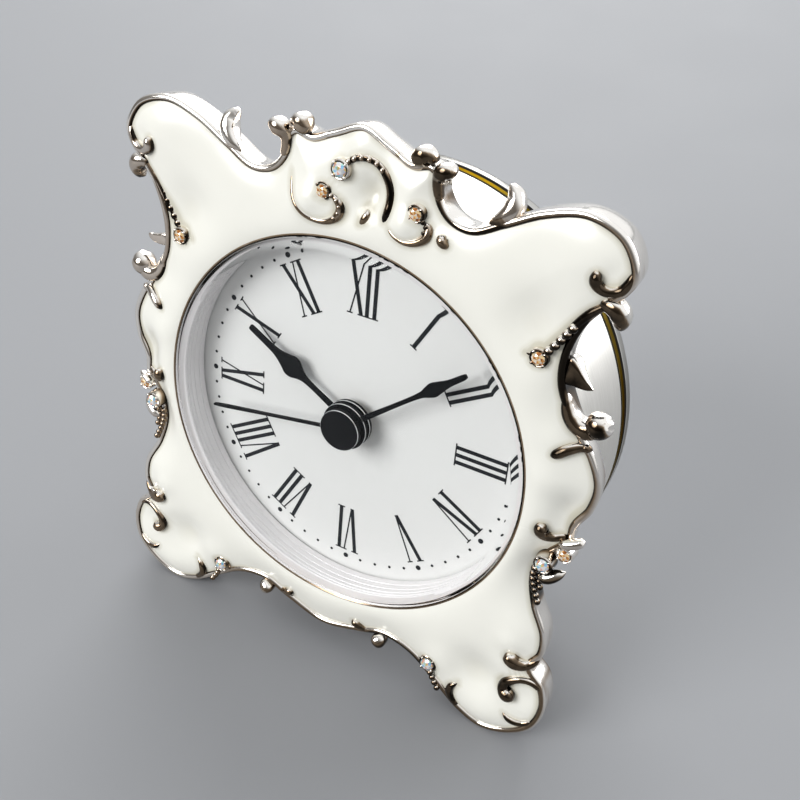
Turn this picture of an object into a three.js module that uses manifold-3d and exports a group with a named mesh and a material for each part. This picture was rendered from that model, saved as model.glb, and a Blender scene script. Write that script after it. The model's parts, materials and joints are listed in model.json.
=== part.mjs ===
// Crystal table clock: a cast scroll frame with an enamel field and set stones, a round dial
// behind a thick bevelled lens, and a quartz movement inside a brushed drum.
// Sizes are millimetres. The clock is built facing +Z (x right, y up, z out of the dial, z = 0 on
// the bright front edges of the casting) and is then leaned back on its two scroll feet and the
// rear rim of the drum, so that it stands on z = 0 and faces -Y.
import * as THREE from 'three';
import { mergeVertices } from 'three/addons/utils/BufferGeometryUtils.js';
import Module from 'manifold-3d';

const wasm = await Module();
wasm.setup();

// Fits
const SEAT_GAP = 0.3; // between faces that rest on each other
const RUN_GAP = 0.25; // between a turning piece and what it turns in
const STONE_GAP = 0.12; // round a stone in its cup, and between the enamel and the metal

// Cast frame
const OPENING_RADIUS = 25;
const CAST_DEPTH = 4;
const EDGE_CHAMFER = 0.35;
const RIDGE_WIDTH = 0.8; // bright edge round the enamel
const LIP_WIDTH = 0.55; // bright lip round the opening
const FIELD_FLOOR = 1.4; // depth of the pocket that holds the enamel
const ENAMEL_TOP = 0.45; // the enamel lies this far below the bright edges
const RIDGE_AXIS = -0.45; // height of the middle of a scroll ridge
const CUP_WALL = 0.4; // metal round a stone
const REST_DROP = 34.7; // dial centre down to where the feet meet the table, at the casting's back

// Lens, dial and hands
const LENS_PROUD = 0.5;
const LENS_THICK = 1.8;
const LENS_BEVEL = 1.9; // width of the bevel on the lens edge
const LENS_BEVEL_DROP = 1;
const DIAL_DEPTH = 5.7; // front edges down to the face of the dial
const DIAL_THICK = 0.5;
const DIAL_RADIUS = 28;
const DIAL_RING_WALL = 0.9;
const HAND_THICK = 0.3;
const HUB_THICK = 0.75;
const HOUR_HUB_RADIUS = 3;
const MINUTE_HUB_RADIUS = 2.9;
const CAP_RADIUS = 2.75;
const CAP_THICK = 0.95;
const HUB_SIDES = 18;
const BLADE_STEPS = 5; // straight steps in each curve of a hand
const HOUR_HAND = { length: 17.6, bulgeAt: 10.1, bulge: 1.55, stem: 0.45, tip: 0.4, angle: 151.8 };
const MINUTE_HAND = { length: 19.7, bulgeAt: 14.7, bulge: 0.9, stem: 0.4, tip: 0.35, angle: 40 };
const SECOND_HAND = { length: 19.9, root: 0.28, tip: 0.2, angle: 191 };

// Drum
const DRUM_RADIUS = 30.3;
const DRUM_WALL = 0.9;
const DRUM_FLANGE = 1.1;
const DRUM_REAR = 18.1; // front edges back to the rear end of the brushed wall
const TRIM_RING = 0.8; // length of the brass ring
const COVER_RIM = 2.5; // length of the polished rim of the back cover
const RIM_ROUND = 1; // radius on the rear edge of that rim
const COVER_PLATE = 1.2;
const COVER_RECESS = 0.6; // the cover plate lies this far inside the rim
const ROUND_SIDES = 32;
const CASE_SCREWS = 4;
const SCREW_RADIUS = 0.75;
const SCREW_HEAD = { radius: 1.3, thick: 0.5 };
const CASE_SCREW_REACH = 1.7; // thread in the casting

// Movement case
const MOVEMENT_RADIUS = 20;
const MOVEMENT_SIDES = 24;
const MOVEMENT_WALL = 1.2;
const PLATE_THICK = 1.2;
const HOLDER_FLANGE = 1.4;
const HOLDER_WALL = 1.2;
const MOVEMENT_RIM = 2.3; // rim that carries the movement on its holder
const MOVEMENT_RIM_THICK = 1;
const COVER_THICK = 1;
const MOVEMENT_SCREWS = 2;
const MOVEMENT_SCREW_REACH = 0.9;

// Gear train: teeth in mesh share a module, pieces on one axis share a centre distance
const WHEEL_THICK = 0.7;
const LEVEL_GAP = 0.3;
const ADDENDUM = 0.8;
const DEDENDUM = 1.6;
const TIP_SHARE = 0.08; // half the tooth tip, as a share of the tooth pitch
const TEETH = {
  secondsPinion: 6, third: 45, thirdPinion: 6, centre: 48,
  cannon: 10, minute: 30, minutePinion: 8, hour: 32, setting: 12,
  rotorPinion: 6, intermediate: 30, intermediatePinion: 6, seconds: 36,
};
// Wheels that mesh lie on one level; the levels are counted back from the front plate
const LEVEL = { hour: 1, minute: 2, centre: 3, third: 4, seconds: 5, intermediate: 6, rotor: 7 };
const THIRD_DISTANCE = 7; // dial centre to the third wheel
const MINUTE_DISTANCE = 6.6; // dial centre to the minute wheel
const INTERMEDIATE_DISTANCE = 5.9; // dial centre to the intermediate wheel
const ROTOR_DISTANCE = 5.05; // intermediate wheel to the rotor
const THIRD_AT = 150; // directions of those axes, degrees
const MINUTE_AT = 270;
const INTERMEDIATE_AT = 30;
const ROTOR_AT = 80;
const SETTING_AT = 20;
const BRIDGE_FOOT = [12, 48]; // directions between which the bridge meets the movement's wall, degrees
const ARBOR = 0.4;
const NECK = 0.5; // neck that joins the wheel and the pinion of one arbor
const CANNON_WALL = 0.4;
const HOUR_TUBE_WALL = 0.45;
const PIPE_SIDES = 10;
const ROTOR_RADIUS = 1.9;
const ROTOR_THICK = 1.2;

// Cell, coil, board and controls
const CELL_RADIUS = 5.8;
const CELL_THICK = 5.4;
const CELL_DROP = 12.2; // dial centre down to the cell
const CONTACT = { thick: 0.3, width: 2.4, length: 9 };
const COIL = { length: 14, height: 3.4, depth: 2.7, flange: 0.8, flangeHeight: 4.4, up: 14.6 };
const CORE = { width: 2, thick: 0.5, overhang: 2.4 };
const STATOR = { thick: 0.8, ring: 1.6, arm: CORE.overhang - SEAT_GAP, gap: 0.4 };
const BOARD = { width: 9.5, height: 14, thick: 0.6, right: 12.4 };
const QUARTZ = { radius: 1, length: 6 };
const CAP_PLUG = 6.1;
const CAP_SIDES = 24;
const CAP_LUG = { reach: 1.3, width: 2.4, thick: 0.9 };
const COIN_SLOT = { length: 8, width: 1.2, depth: 0.7 };
const CAP_TURN = 45; // degrees from locked to the notches
const STEM_RADIUS = 0.8;
const KNOB = { radius: 3.6, thick: 2.1, flutes: 12, flute: 0.25 };

// Heights worked out from the stack, front to back
const lensBack = LENS_PROUD - LENS_THICK;
const ringFront = lensBack - SEAT_GAP;
const dialFace = -DIAL_DEPTH;
const dialBack = dialFace - DIAL_THICK;
const flangeFront = -CAST_DEPTH - SEAT_GAP;
const flangeBack = flangeFront - DRUM_FLANGE;
const holderFront = dialBack - SEAT_GAP;
const holderBack = holderFront - HOLDER_FLANGE;
const plateFront = holderFront;
const plateBack = plateFront - PLATE_THICK;
const movementRimFront = holderBack - SEAT_GAP;
const trimFront = -DRUM_REAR - SEAT_GAP;
const rimFront = trimFront - TRIM_RING - SEAT_GAP;
const drumRear = rimFront - COVER_RIM;
const coverBack = drumRear + COVER_RECESS;
const coverFront = coverBack + COVER_PLATE;
const capTop = lensBack - SEAT_GAP;
const capBottom = capTop - CAP_THICK;
const minuteHubTop = capBottom - RUN_GAP;
const minuteHubBottom = minuteHubTop - HUB_THICK;
const hourHubTop = minuteHubBottom - RUN_GAP;
const hourHubBottom = hourHubTop - HUB_THICK;
const levelTop = (level) => plateBack - LEVEL_GAP - (level - 1) * (WHEEL_THICK + LEVEL_GAP);
const levelBack = (level) => levelTop(level) - WHEEL_THICK;
const cellFront = levelBack(LEVEL.third) - LEVEL_GAP;
const cellBack = cellFront - CELL_THICK;
const movementCoverBack = cellBack - COVER_THICK;
const movementCoverFront = movementCoverBack + COVER_THICK;
const wallEnd = movementCoverFront + SEAT_GAP;

// The floor touches the back edge of the feet and the round rear edge of the drum
const floorReach = REST_DROP - DRUM_RADIUS + RIM_ROUND;
const floorRun = -drumRear - RIM_ROUND - CAST_DEPTH;
const LEAN = Math.acos(RIM_ROUND / Math.hypot(floorReach, floorRun)) - Math.atan2(floorRun, floorReach);

// Colours and finishes
const SILVER = [0xd8d2c8, 0.18, 1];
const ENAMEL = [0xf2f0e4, 0.15, 0];
const AMBER = [0xc98a3c, 0.05, 0.1];
const CLEAR_STONE = [0xdfe8f2, 0.03, 0.1];
const LENS = [0xf4f8fa, 0.03, 0];
const DIAL_WHITE = [0xf0f0ee, 0.5, 0];
const BLACK = [0x101214, 0.35, 0.1];
const BRUSHED = [0xb9b4aa, 0.35, 1];
const BRASS = [0xb8913f, 0.3, 1];
const STEEL = [0xa9abad, 0.3, 1];
const COPPER = [0xb06a3a, 0.4, 1];
const PLASTIC = [0xe4e2da, 0.5, 0];
const BOARD_GREEN = [0x2c5a3c, 0.5, 0];

const degrees = THREE.MathUtils.degToRad;
const lerp = THREE.MathUtils.lerp;
const polar = (radius, angle) => [radius * Math.cos(degrees(angle)), radius * Math.sin(degrees(angle))];

// Solids

function solid(geometry) {
  const bare = geometry.clone();
  bare.deleteAttribute('normal');
  bare.deleteAttribute('uv');
  const merged = mergeVertices(bare, 1e-4);
  const index = merged.index.array;
  const triangles = [];
  for (let i = 0; i < index.length; i += 3) {
    const [a, b, c] = [index[i], index[i + 1], index[i + 2]];
    if (a !== b && b !== c && c !== a) triangles.push([a, b, c]);
  }
  const positions = merged.attributes.position;
  const corner = [new THREE.Vector3(), new THREE.Vector3(), new THREE.Vector3()];
  let volume = 0;
  for (const triangle of triangles) {
    triangle.forEach((vertex, i) => corner[i].fromBufferAttribute(positions, vertex));
    volume += corner[0].dot(corner[1].clone().cross(corner[2]));
  }
  const facing = volume < 0 ? triangles.map(([a, b, c]) => [a, c, b]) : triangles;
  return new wasm.Manifold(new wasm.Mesh({
    numProp: 3,
    vertProperties: new Float32Array(positions.array),
    triVerts: new Uint32Array(facing.flat()),
  }));
}

function geometryOf(body) {
  const mesh = body.getMesh();
  const geometry = new THREE.BufferGeometry();
  geometry.setAttribute('position', new THREE.BufferAttribute(mesh.vertProperties, 3));
  geometry.setIndex(new THREE.BufferAttribute(mesh.triVerts, 1));
  geometry.computeVertexNormals();
  return geometry;
}

const join = (bodies) => bodies.reduce((whole, body) => whole.add(body));
const cut = (body, tools) => tools.reduce((rest, tool) => rest.subtract(tool), body);

// A closed profile of [radius, z] points turned about the z axis
function turned(profile, sides = ROUND_SIDES) {
  const points = [...profile, profile[0]].map(([radius, z]) => new THREE.Vector2(radius, z));
  return solid(new THREE.LatheGeometry(points, sides).rotateX(Math.PI / 2));
}

const tube = (inner, outer, back, front, sides) =>
  turned([[inner, back], [outer, back], [outer, front], [inner, front]], sides);

function rod(radius, back, front, [x, y] = [0, 0], sides = 8) {
  const geometry = new THREE.CylinderGeometry(radius, radius, front - back, sides);
  geometry.rotateX(Math.PI / 2);
  return solid(geometry.translate(x, y, (front + back) / 2));
}

function block(width, height, back, front, [x, y] = [0, 0], turn = 0) {
  const geometry = new THREE.BoxGeometry(width, height, front - back);
  geometry.translate(0, 0, (front + back) / 2).rotateZ(turn);
  return solid(geometry.translate(x, y, 0));
}

function plate(shape, back, front, curveSegments = 8) {
  const settings = { depth: front - back, bevelEnabled: false, curveSegments };
  return solid(new THREE.ExtrudeGeometry(shape, settings).translate(0, 0, back));
}

// A skin over rings of points, closed by flat caps cut into triangles by the given outline
function skin(rings, outline) {
  const count = outline.length;
  const index = [];
  for (let ring = 0; ring + 1 < rings.length; ring += 1) {
    for (let i = 0; i < count; i += 1) {
      const here = ring * count + i;
      const next = ring * count + ((i + 1) % count);
      index.push(here, next, next + count, here, next + count, here + count);
    }
  }
  const last = (rings.length - 1) * count;
  for (const [a, b, c] of THREE.ShapeUtils.triangulateShape(outline, [])) {
    index.push(a, c, b, last + a, last + b, last + c);
  }
  const geometry = new THREE.BufferGeometry().setFromPoints(rings.flat());
  geometry.setIndex(index);
  return solid(geometry);
}

// Cast frame

// Right half of the outline, clockwise from the crest to the middle of the bottom edge
const HALF_OUTLINE = [
  [0, 38.3], [3.6, 36.9], [6.4, 35.8], [8.4, 36.1], [9.8, 35], [9.9, 33.1], [11.4, 31.2],
  [13.8, 30.7], [17.2, 32.4], [21.5, 34.7], [26, 35.8], [30.2, 34.3], [32.1, 30.8], [31.3, 28.6],
  [29.9, 27], [28, 24.4], [26.8, 20.5], [26.9, 16.8], [28.4, 13.5], [30.1, 11], [31.6, 9],
  [33, 5.5], [32.7, 2], [31.4, -0.8], [31.2, -3], [29.1, -5.9], [28.1, -9], [29, -13], [31, -17],
  [31.2, -20], [30.2, -22.3], [32, -24.3], [33, -27.5], [32.2, -31.2], [29.2, -34.2],
  [25.2, -35.6], [21.5, -34.5], [17.7, -31.8], [13.8, -29.2], [9.8, -28.5], [6, -29.9], [0, -31.5],
];
const OUTLINE_STEPS = 2; // straight steps between two outline points

function frameOutline() {
  const left = HALF_OUTLINE.slice(1, -1).reverse().map(([x, y]) => [-x, y]);
  const points = [...HALF_OUTLINE, ...left].map(([x, y]) => new THREE.Vector3(x, y, 0));
  const curve = new THREE.CatmullRomCurve3(points.reverse(), true, 'centripetal');
  const line = curve.getPoints(points.length * OUTLINE_STEPS).slice(0, -1);
  return line.map(({ x, y }) => new THREE.Vector2(x, y));
}

// The outline moved inwards along the bisector of each corner
function inset(outline, distance) {
  const count = outline.length;
  return outline.map((point, i) => {
    const before = point.clone().sub(outline[(i + count - 1) % count]).normalize();
    const after = outline[(i + 1) % count].clone().sub(point).normalize();
    const along = before.clone().add(after).normalize();
    const reach = distance / Math.max(along.dot(after), 0.7);
    return new THREE.Vector2(point.x - along.y * reach, point.y + along.x * reach);
  });
}

function outlineSolid(outline, levels) {
  const rings = levels.map(([distance, z]) =>
    inset(outline, distance).map(({ x, y }) => new THREE.Vector3(x, y, z)));
  return skin(rings, outline);
}

const SCROLL_STEP = 2.4;
const RIDGE_DRAFT = 0.6; // width of a ridge's top, as a share of its foot
const BLUNT = { reach: 0.6, share: 0.5 }; // end of a scroll, in half widths
const HORN_CORNERS = [18, 90, 162, 234, 306];
const fieldFoot = -FIELD_FLOOR - CUP_WALL;

const ridgeSection = (half, bottom, draft) =>
  [[half, bottom], [half * draft, half], [-half * draft, half], [-half, bottom]];
const hornSection = (half) => HORN_CORNERS.map((angle) => polar(half, angle));

// A scroll: a bar along a flat curve, tapering between two half widths to a blunt end
function scroll(line, section, grow, mirror) {
  const side = mirror ? -1 : 1;
  const points = line.points.map(([x, y]) => new THREE.Vector3(side * x, y, 0));
  const curve = new THREE.CatmullRomCurve3(points, false, 'centripetal');
  const steps = Math.max(2, Math.round(curve.getLength() / SCROLL_STEP));
  const stations = Array.from({ length: steps + 1 }, (_, i) => [i / steps, 0, 1]);
  stations.push([1, BLUNT.reach, BLUNT.share]);
  const rings = stations.map(([t, beyond, share]) => {
    const radius = lerp(line.from, line.to, t);
    const along = curve.getTangent(t);
    const middle = curve.getPoint(t).addScaledVector(along, beyond * radius);
    const half = radius * share + grow;
    return section(half, fieldFoot - line.z).map(([across, up]) =>
      new THREE.Vector3(middle.x - along.y * across, middle.y + along.x * across, line.z + up));
  });
  const cap = rings[0].map((_, i) => {
    const angle = 2 * Math.PI * i / rings[0].length;
    return new THREE.Vector2(Math.cos(angle), Math.sin(angle));
  });
  return skin(rings, cap);
}

const drafted = (half, bottom) => ridgeSection(half, bottom, RIDGE_DRAFT);
const straight = (half, bottom) => ridgeSection(half, bottom, 1);
const ridge = (line, mirror) => scroll(line, drafted, 0, mirror);
const horn = (line, mirror) => scroll(line, hornSection, 0, mirror);
// The straight-sided hollow that leaves the enamel clear of a ridge or a horn
const scrollHollow = (line, mirror) => scroll(line, straight, STONE_GAP, mirror);

const path = (points, from, to, z = RIDGE_AXIS) => ({ points, from, to, z });

// Ridges that stand in the enamel on both sides of the frame
const PAIRED_RIDGES = [
  path([[31.6, 30], [31, 28.7], [29.8, 28.1], [28.6, 28.5], [28, 29.4], [28.2, 30.2]], 0.45, 0.7),
  path([[27.4, 24.4], [26.2, 22.6], [25.1, 20.9], [24.4, 20]], 0.5, 0.45),
  path([[30.6, 10.2], [29, 9.4], [27.5, 8.4]], 0.5, 0.3),
  path([[31, -2.2], [29.4, -2.7], [28.1, -2.4], [27.8, -1.4]], 0.45, 0.75),
  path([[30.4, -22], [29.1, -22], [28.3, -21.2]], 0.45, 0.8),
  path([[32.4, -26.2], [31.4, -24.9], [29.8, -24.4], [28.2, -25], [27.5, -26.2], [28.2, -27.1]], 0.45, 0.75),
  path([[32, -30.9], [30.3, -31.7], [28.9, -31.5], [28.1, -30.9]], 0.45, 0.3),
  path([[21.7, -34.2], [20.5, -33], [20.2, -31.8], [21.2, -30.6]], 0.5, 0.35),
  path([[7, -29.3], [5.9, -28.9], [5.1, -28.4]], 0.45, 0.75),
  path([[3.8, 36.5], [5.2, 35.7], [6.4, 35.2], [7.2, 35.6]], 0.4, 0.55),
];
// Ridges of the crest, which differ from side to side
const CREST_RIDGES = [
  path([[-8.4, 31.2], [-7.6, 28.7], [-5.6, 27.1], [-3.4, 27], [-2.1, 28.1], [-2.4, 29.3]], 0.35, 0.5),
  path([[-0.9, 34], [0.4, 34.8], [2, 34.7], [3.6, 33.6], [4.3, 31.6], [4, 29]], 0.5, 0.45),
  path([[0.8, 27.6], [1.4, 28.4], [1.6, 29.3]], 0.35, 0.5),
  path([[5.1, 28.6], [6.6, 27.5], [8.3, 27.6], [9.4, 28.6], [9.1, 29.7]], 0.35, 0.5),
];
// Horns and curls that leave the edge of the casting on both sides
const PAIRED_HORNS = [
  path([[29.2, 27], [30.7, 26.9], [31.7, 25.9]], 0.95, 0.4, -0.9),
  path([[26.2, 18.8], [28.2, 18.1], [29.8, 17.8]], 0.85, 0.3, -1),
  path([[28.2, 15], [28.7, 13.2], [30.2, 12.1], [31.5, 12.4], [31.9, 13.4]], 0.8, 1.25, -1.6),
  path([[30.4, -3], [31.8, -2.8], [32.9, -2.3]], 0.9, 0.4, -1.4),
  path([[28.6, -8.5], [30, -7.9], [31.2, -7.2]], 0.75, 0.4, -1.9),
  path([[9.4, 33.4], [9.6, 34.8], [10.3, 35.9]], 0.6, 1.15, -1),
  path([[17.4, 31.8], [18, 33.6], [17, 35.2]], 1, 0.5, -2),
];
// Round beads: x, y, z, radius
const PAIRED_BEADS = [[7.4, 36.8, -0.9, 1.3], [9, -29.5, -1.2, 1.1]];
const CREST_BEADS = [[11.4, 28.7, -0.8, 0.95]];

// Stones: name, x, y, height of the girdle, radius; a mirrored stone has one on each side
const STONES = [
  { name: 'crest_stone_clear', at: [-1.9, 33.1], z: 0.2, radius: 1.05, finish: CLEAR_STONE },
  { name: 'crest_stone_amber_left', at: [-3.9, 30.2], z: 0.2, radius: 0.9, finish: AMBER },
  { name: 'crest_stone_amber_right', at: [7.7, 30.7], z: 0.2, radius: 0.9, finish: AMBER },
  { name: 'shoulder_stone', at: [23.8, 19.2], z: 0.1, radius: 0.95, finish: AMBER, paired: true },
  { name: 'side_stone_amber', at: [30.9, -4.5], z: -1, radius: 0.9, finish: AMBER, paired: true },
  { name: 'side_stone_clear', at: [28.9, -6.3], z: -0.1, radius: 1.05, finish: CLEAR_STONE, paired: true },
  { name: 'foot_stone', at: [16.8, -28.9], z: 0.1, radius: 1.1, finish: CLEAR_STONE, paired: true },
];
const STONE_CULET = 0.7; // heights as shares of the stone's radius
const STONE_GIRDLE = 0.12;
const STONE_CROWN = 0.5;
const STONE_TABLE = 0.6;
const STONE_SIDES = 8;

function eachStone() {
  return STONES.flatMap((stone) => {
    if (!stone.paired) return [stone];
    const [x, y] = stone.at;
    return [
      { ...stone, name: `${stone.name}_left`, at: [-x, y] },
      { ...stone, name: `${stone.name}_right` },
    ];
  });
}

function stoneBody({ radius }) {
  return turned([
    [0, -STONE_CULET * radius], [radius, 0], [radius, STONE_GIRDLE * radius],
    [STONE_TABLE * radius, STONE_CROWN * radius], [0, STONE_CROWN * radius],
  ], STONE_SIDES);
}

const cupFloor = ({ z, radius }) => z - STONE_CULET * radius - SEAT_GAP;

function stoneCup(stone, grow = 0) {
  const bottom = Math.min(-FIELD_FLOOR, cupFloor(stone)) - CUP_WALL;
  return rod(stone.radius + STONE_GAP + CUP_WALL + grow, bottom, stone.z + grow, stone.at, STONE_SIDES);
}

const stoneSeat = (stone) =>
  rod(stone.radius + STONE_GAP, cupFloor(stone), stone.z + stone.radius, stone.at, STONE_SIDES);

function bead([x, y, z, radius], mirror = false, grow = 0) {
  const geometry = new THREE.SphereGeometry(radius + grow, 8, 5);
  return solid(geometry.translate(mirror ? -x : x, y, z));
}

const bothSides = (items, make) => items.flatMap((item) => [make(item, false), make(item, true)]);

// Everything bright that stands in the enamel or leaves the edge of the casting
function relief() {
  return [
    ...bothSides(PAIRED_RIDGES, ridge), ...CREST_RIDGES.map((item) => ridge(item, false)),
    ...CREST_BEADS.map((item) => bead(item, false)), ...eachStone().map((stone) => stoneCup(stone)),
    ...bothSides(PAIRED_HORNS, horn), ...bothSides(PAIRED_BEADS, bead),
  ];
}

// The same as hollows in the enamel, larger by a gap all round
function reliefHollows() {
  return [
    ...bothSides([...PAIRED_RIDGES, ...PAIRED_HORNS], scrollHollow),
    ...CREST_RIDGES.map((item) => scrollHollow(item, false)),
    ...CREST_BEADS.map((item) => bead(item, false, STONE_GAP)),
    ...bothSides(PAIRED_BEADS, (item, mirror) => bead(item, mirror, STONE_GAP)),
    ...eachStone().map((stone) => stoneCup(stone, STONE_GAP)),
  ];
}

const ABOVE = 4; // how far a cutting tool stands clear of what it cuts
const screwCircle = (OPENING_RADIUS + DRUM_RADIUS - DRUM_WALL) / 2;
const caseScrewPlaces = Array.from({ length: CASE_SCREWS }, (_, i) =>
  polar(screwCircle, (i + 0.5) * 360 / CASE_SCREWS));

function floorBlock() {
  const reach = 3 * DRUM_RADIUS;
  const geometry = new THREE.BoxGeometry(reach * 2, reach, reach * 2);
  geometry.translate(0, -reach / 2, 0).rotateX(LEAN);
  return solid(geometry.translate(0, -REST_DROP, -CAST_DEPTH));
}

function frameCasting(outline) {
  const body = outlineSolid(outline, [[0, -CAST_DEPTH], [0, -EDGE_CHAMFER], [EDGE_CHAMFER, 0]]);
  const pocket = outlineSolid(outline, [[RIDGE_WIDTH, -FIELD_FLOOR], [RIDGE_WIDTH, ABOVE]]);
  const lip = rod(OPENING_RADIUS + LIP_WIDTH, fieldFoot, -EDGE_CHAMFER, [0, 0], ROUND_SIDES);
  const metal = join([body.subtract(pocket), lip, ...relief()]);
  const opening = rod(OPENING_RADIUS, -CAST_DEPTH - ABOVE, ABOVE, [0, 0], ROUND_SIDES);
  const threads = caseScrewPlaces.map((place) =>
    rod(SCREW_RADIUS + RUN_GAP, -CAST_DEPTH - ABOVE, -CAST_DEPTH + CASE_SCREW_REACH, place));
  const behind = block(4 * DRUM_RADIUS, 4 * DRUM_RADIUS, -CAST_DEPTH - ABOVE, -CAST_DEPTH);
  return cut(metal, [...eachStone().map(stoneSeat), opening, ...threads, behind, floorBlock()]);
}

function enamelField(outline) {
  const edge = RIDGE_WIDTH + STONE_GAP;
  const layer = outlineSolid(outline, [[edge, -FIELD_FLOOR + STONE_GAP], [edge, -ENAMEL_TOP]]);
  const hole = rod(OPENING_RADIUS + LIP_WIDTH + STONE_GAP, -ABOVE, ABOVE, [0, 0], ROUND_SIDES);
  return cut(layer, [hole, ...reliefHollows()]);
}

// Lens, dial and hands

function lensBody() {
  const radius = OPENING_RADIUS - RUN_GAP;
  return turned([
    [0, lensBack], [radius, lensBack], [radius, LENS_PROUD - LENS_BEVEL_DROP],
    [radius - LENS_BEVEL, LENS_PROUD], [0, LENS_PROUD],
  ]);
}

// Half a hand from its root to its tip: a stem, a swelling and a narrow blunt point
function bladeShape({ length, bulgeAt, bulge, stem, tip }, root) {
  const shape = new THREE.Shape();
  const neck = bulgeAt - bulge;
  const shoulder = bulgeAt + 2 * bulge;
  shape.moveTo(stem, root);
  shape.lineTo(stem, neck);
  shape.quadraticCurveTo(bulge, neck, bulge, bulgeAt);
  shape.quadraticCurveTo(bulge, bulgeAt + bulge, stem, shoulder);
  shape.lineTo(tip, length);
  shape.lineTo(-tip, length);
  shape.lineTo(-stem, shoulder);
  shape.quadraticCurveTo(-bulge, bulgeAt + bulge, -bulge, bulgeAt);
  shape.quadraticCurveTo(-bulge, neck, -stem, neck);
  shape.lineTo(-stem, root);
  return shape;
}

function handBody(blade, hubRadius, bottom, top, bore) {
  const middle = (top + bottom) / 2;
  const shape = bladeShape(blade, hubRadius / 2);
  const blank = plate(shape, middle - HAND_THICK / 2, middle + HAND_THICK / 2, BLADE_STEPS);
  const hub = rod(hubRadius, bottom, top, [0, 0], HUB_SIDES);
  return hub.add(blank).subtract(rod(bore, bottom - ABOVE, top + ABOVE));
}

function secondHandBody() {
  const { length, root, tip } = SECOND_HAND;
  const bottom = capBottom + HAND_THICK / 2;
  const shape = new THREE.Shape();
  shape.moveTo(root, 0);
  shape.lineTo(tip, length);
  shape.lineTo(-tip, length);
  shape.lineTo(-root, 0);
  const cap = rod(CAP_RADIUS, capBottom, capTop, [0, 0], HUB_SIDES);
  const socket = rod(ARBOR + RUN_GAP, capBottom - ABOVE, capTop - HAND_THICK);
  return cap.add(plate(shape, bottom, bottom + HAND_THICK)).subtract(socket);
}

// Drum

const flangeBore = OPENING_RADIUS + RUN_GAP;
const drumInner = DRUM_RADIUS - DRUM_WALL;
const sleeveOuter = drumInner - SEAT_GAP;

function drumBody() {
  const shell = turned([
    [flangeBore, flangeFront], [DRUM_RADIUS, flangeFront], [DRUM_RADIUS, -DRUM_REAR],
    [drumInner, -DRUM_REAR], [drumInner, flangeBack], [flangeBore, flangeBack],
  ]);
  const sunk = flangeBack + SCREW_HEAD.thick + RUN_GAP;
  return cut(shell, caseScrewPlaces.flatMap((place) => [
    rod(SCREW_RADIUS + RUN_GAP, flangeBack - ABOVE, flangeFront + ABOVE, place),
    rod(SCREW_HEAD.radius + RUN_GAP, flangeBack - ABOVE, sunk, place),
  ]));
}

function screwBody(reach, headBack) {
  const headFront = headBack + SCREW_HEAD.thick;
  return rod(SCREW_HEAD.radius, headBack, headFront).add(rod(SCREW_RADIUS, headFront, headFront + reach));
}

const cellPlace = [0, -CELL_DROP];

function coverBody(settingPlace) {
  const steps = 2;
  const rim = Array.from({ length: steps + 1 }, (_, i) => {
    const [out, back] = polar(RIM_ROUND, -90 * i / steps);
    return [DRUM_RADIUS - RIM_ROUND + out, drumRear + RIM_ROUND + back];
  });
  const shell = turned([
    [0, coverFront], [drumInner, coverFront], [drumInner, rimFront], [DRUM_RADIUS, rimFront], ...rim,
    [sleeveOuter - RIM_ROUND, drumRear], [sleeveOuter - RIM_ROUND - COVER_RECESS, coverBack], [0, coverBack],
  ]);
  const bore = CAP_PLUG + RUN_GAP;
  const notch = block(2 * (CAP_PLUG + CAP_LUG.reach + SEAT_GAP), CAP_LUG.width + 2 * SEAT_GAP,
    coverBack - ABOVE, coverFront + ABOVE, cellPlace, degrees(-CAP_TURN));
  return cut(shell, [
    rod(bore, coverBack - ABOVE, coverFront + ABOVE, cellPlace, CAP_SIDES), notch,
    rod(STEM_RADIUS + RUN_GAP, coverBack - ABOVE, coverFront + ABOVE, settingPlace),
  ]);
}

function batteryCapBody() {
  const outside = coverBack - SEAT_GAP;
  const inside = cellBack - SEAT_GAP;
  const lugBack = coverFront + SEAT_GAP;
  const lugs = block(2 * (CAP_PLUG + CAP_LUG.reach), CAP_LUG.width, lugBack, lugBack + CAP_LUG.thick);
  const slot = block(COIN_SLOT.length, COIN_SLOT.width, outside - ABOVE, outside + COIN_SLOT.depth);
  return rod(CAP_PLUG, outside, inside, [0, 0], CAP_SIDES).add(lugs).subtract(slot);
}

function knobBody() {
  const front = coverBack - SEAT_GAP;
  const shape = new THREE.Shape();
  const points = KNOB.flutes * 4;
  for (let i = 0; i < points; i += 1) {
    const radius = KNOB.radius - (i % 4 === 0 ? KNOB.flute : 0);
    const [x, y] = polar(radius, i * 360 / points);
    if (i === 0) shape.moveTo(x, y);
    else shape.lineTo(x, y);
  }
  const blind = rod(STEM_RADIUS + RUN_GAP, front - KNOB.thick / 2, front + ABOVE);
  return plate(shape, front - KNOB.thick, front).subtract(blind);
}

// Movement

const modules = {
  secondsToThird: 2 * THIRD_DISTANCE / (TEETH.secondsPinion + TEETH.third),
  thirdToCentre: 2 * THIRD_DISTANCE / (TEETH.thirdPinion + TEETH.centre),
  cannonToMinute: 2 * MINUTE_DISTANCE / (TEETH.cannon + TEETH.minute),
  minuteToHour: 2 * MINUTE_DISTANCE / (TEETH.minutePinion + TEETH.hour),
  intermediateToSeconds: 2 * INTERMEDIATE_DISTANCE / (TEETH.intermediatePinion + TEETH.seconds),
  rotorToIntermediate: 2 * ROTOR_DISTANCE / (TEETH.rotorPinion + TEETH.intermediate),
};
const plus = ([a, b], [c, d]) => [a + c, b + d];
const thirdPlace = polar(THIRD_DISTANCE, THIRD_AT);
const minutePlace = polar(MINUTE_DISTANCE, MINUTE_AT);
const intermediatePlace = polar(INTERMEDIATE_DISTANCE, INTERMEDIATE_AT);
const rotorPlace = plus(intermediatePlace, polar(ROTOR_DISTANCE, ROTOR_AT));
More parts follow.
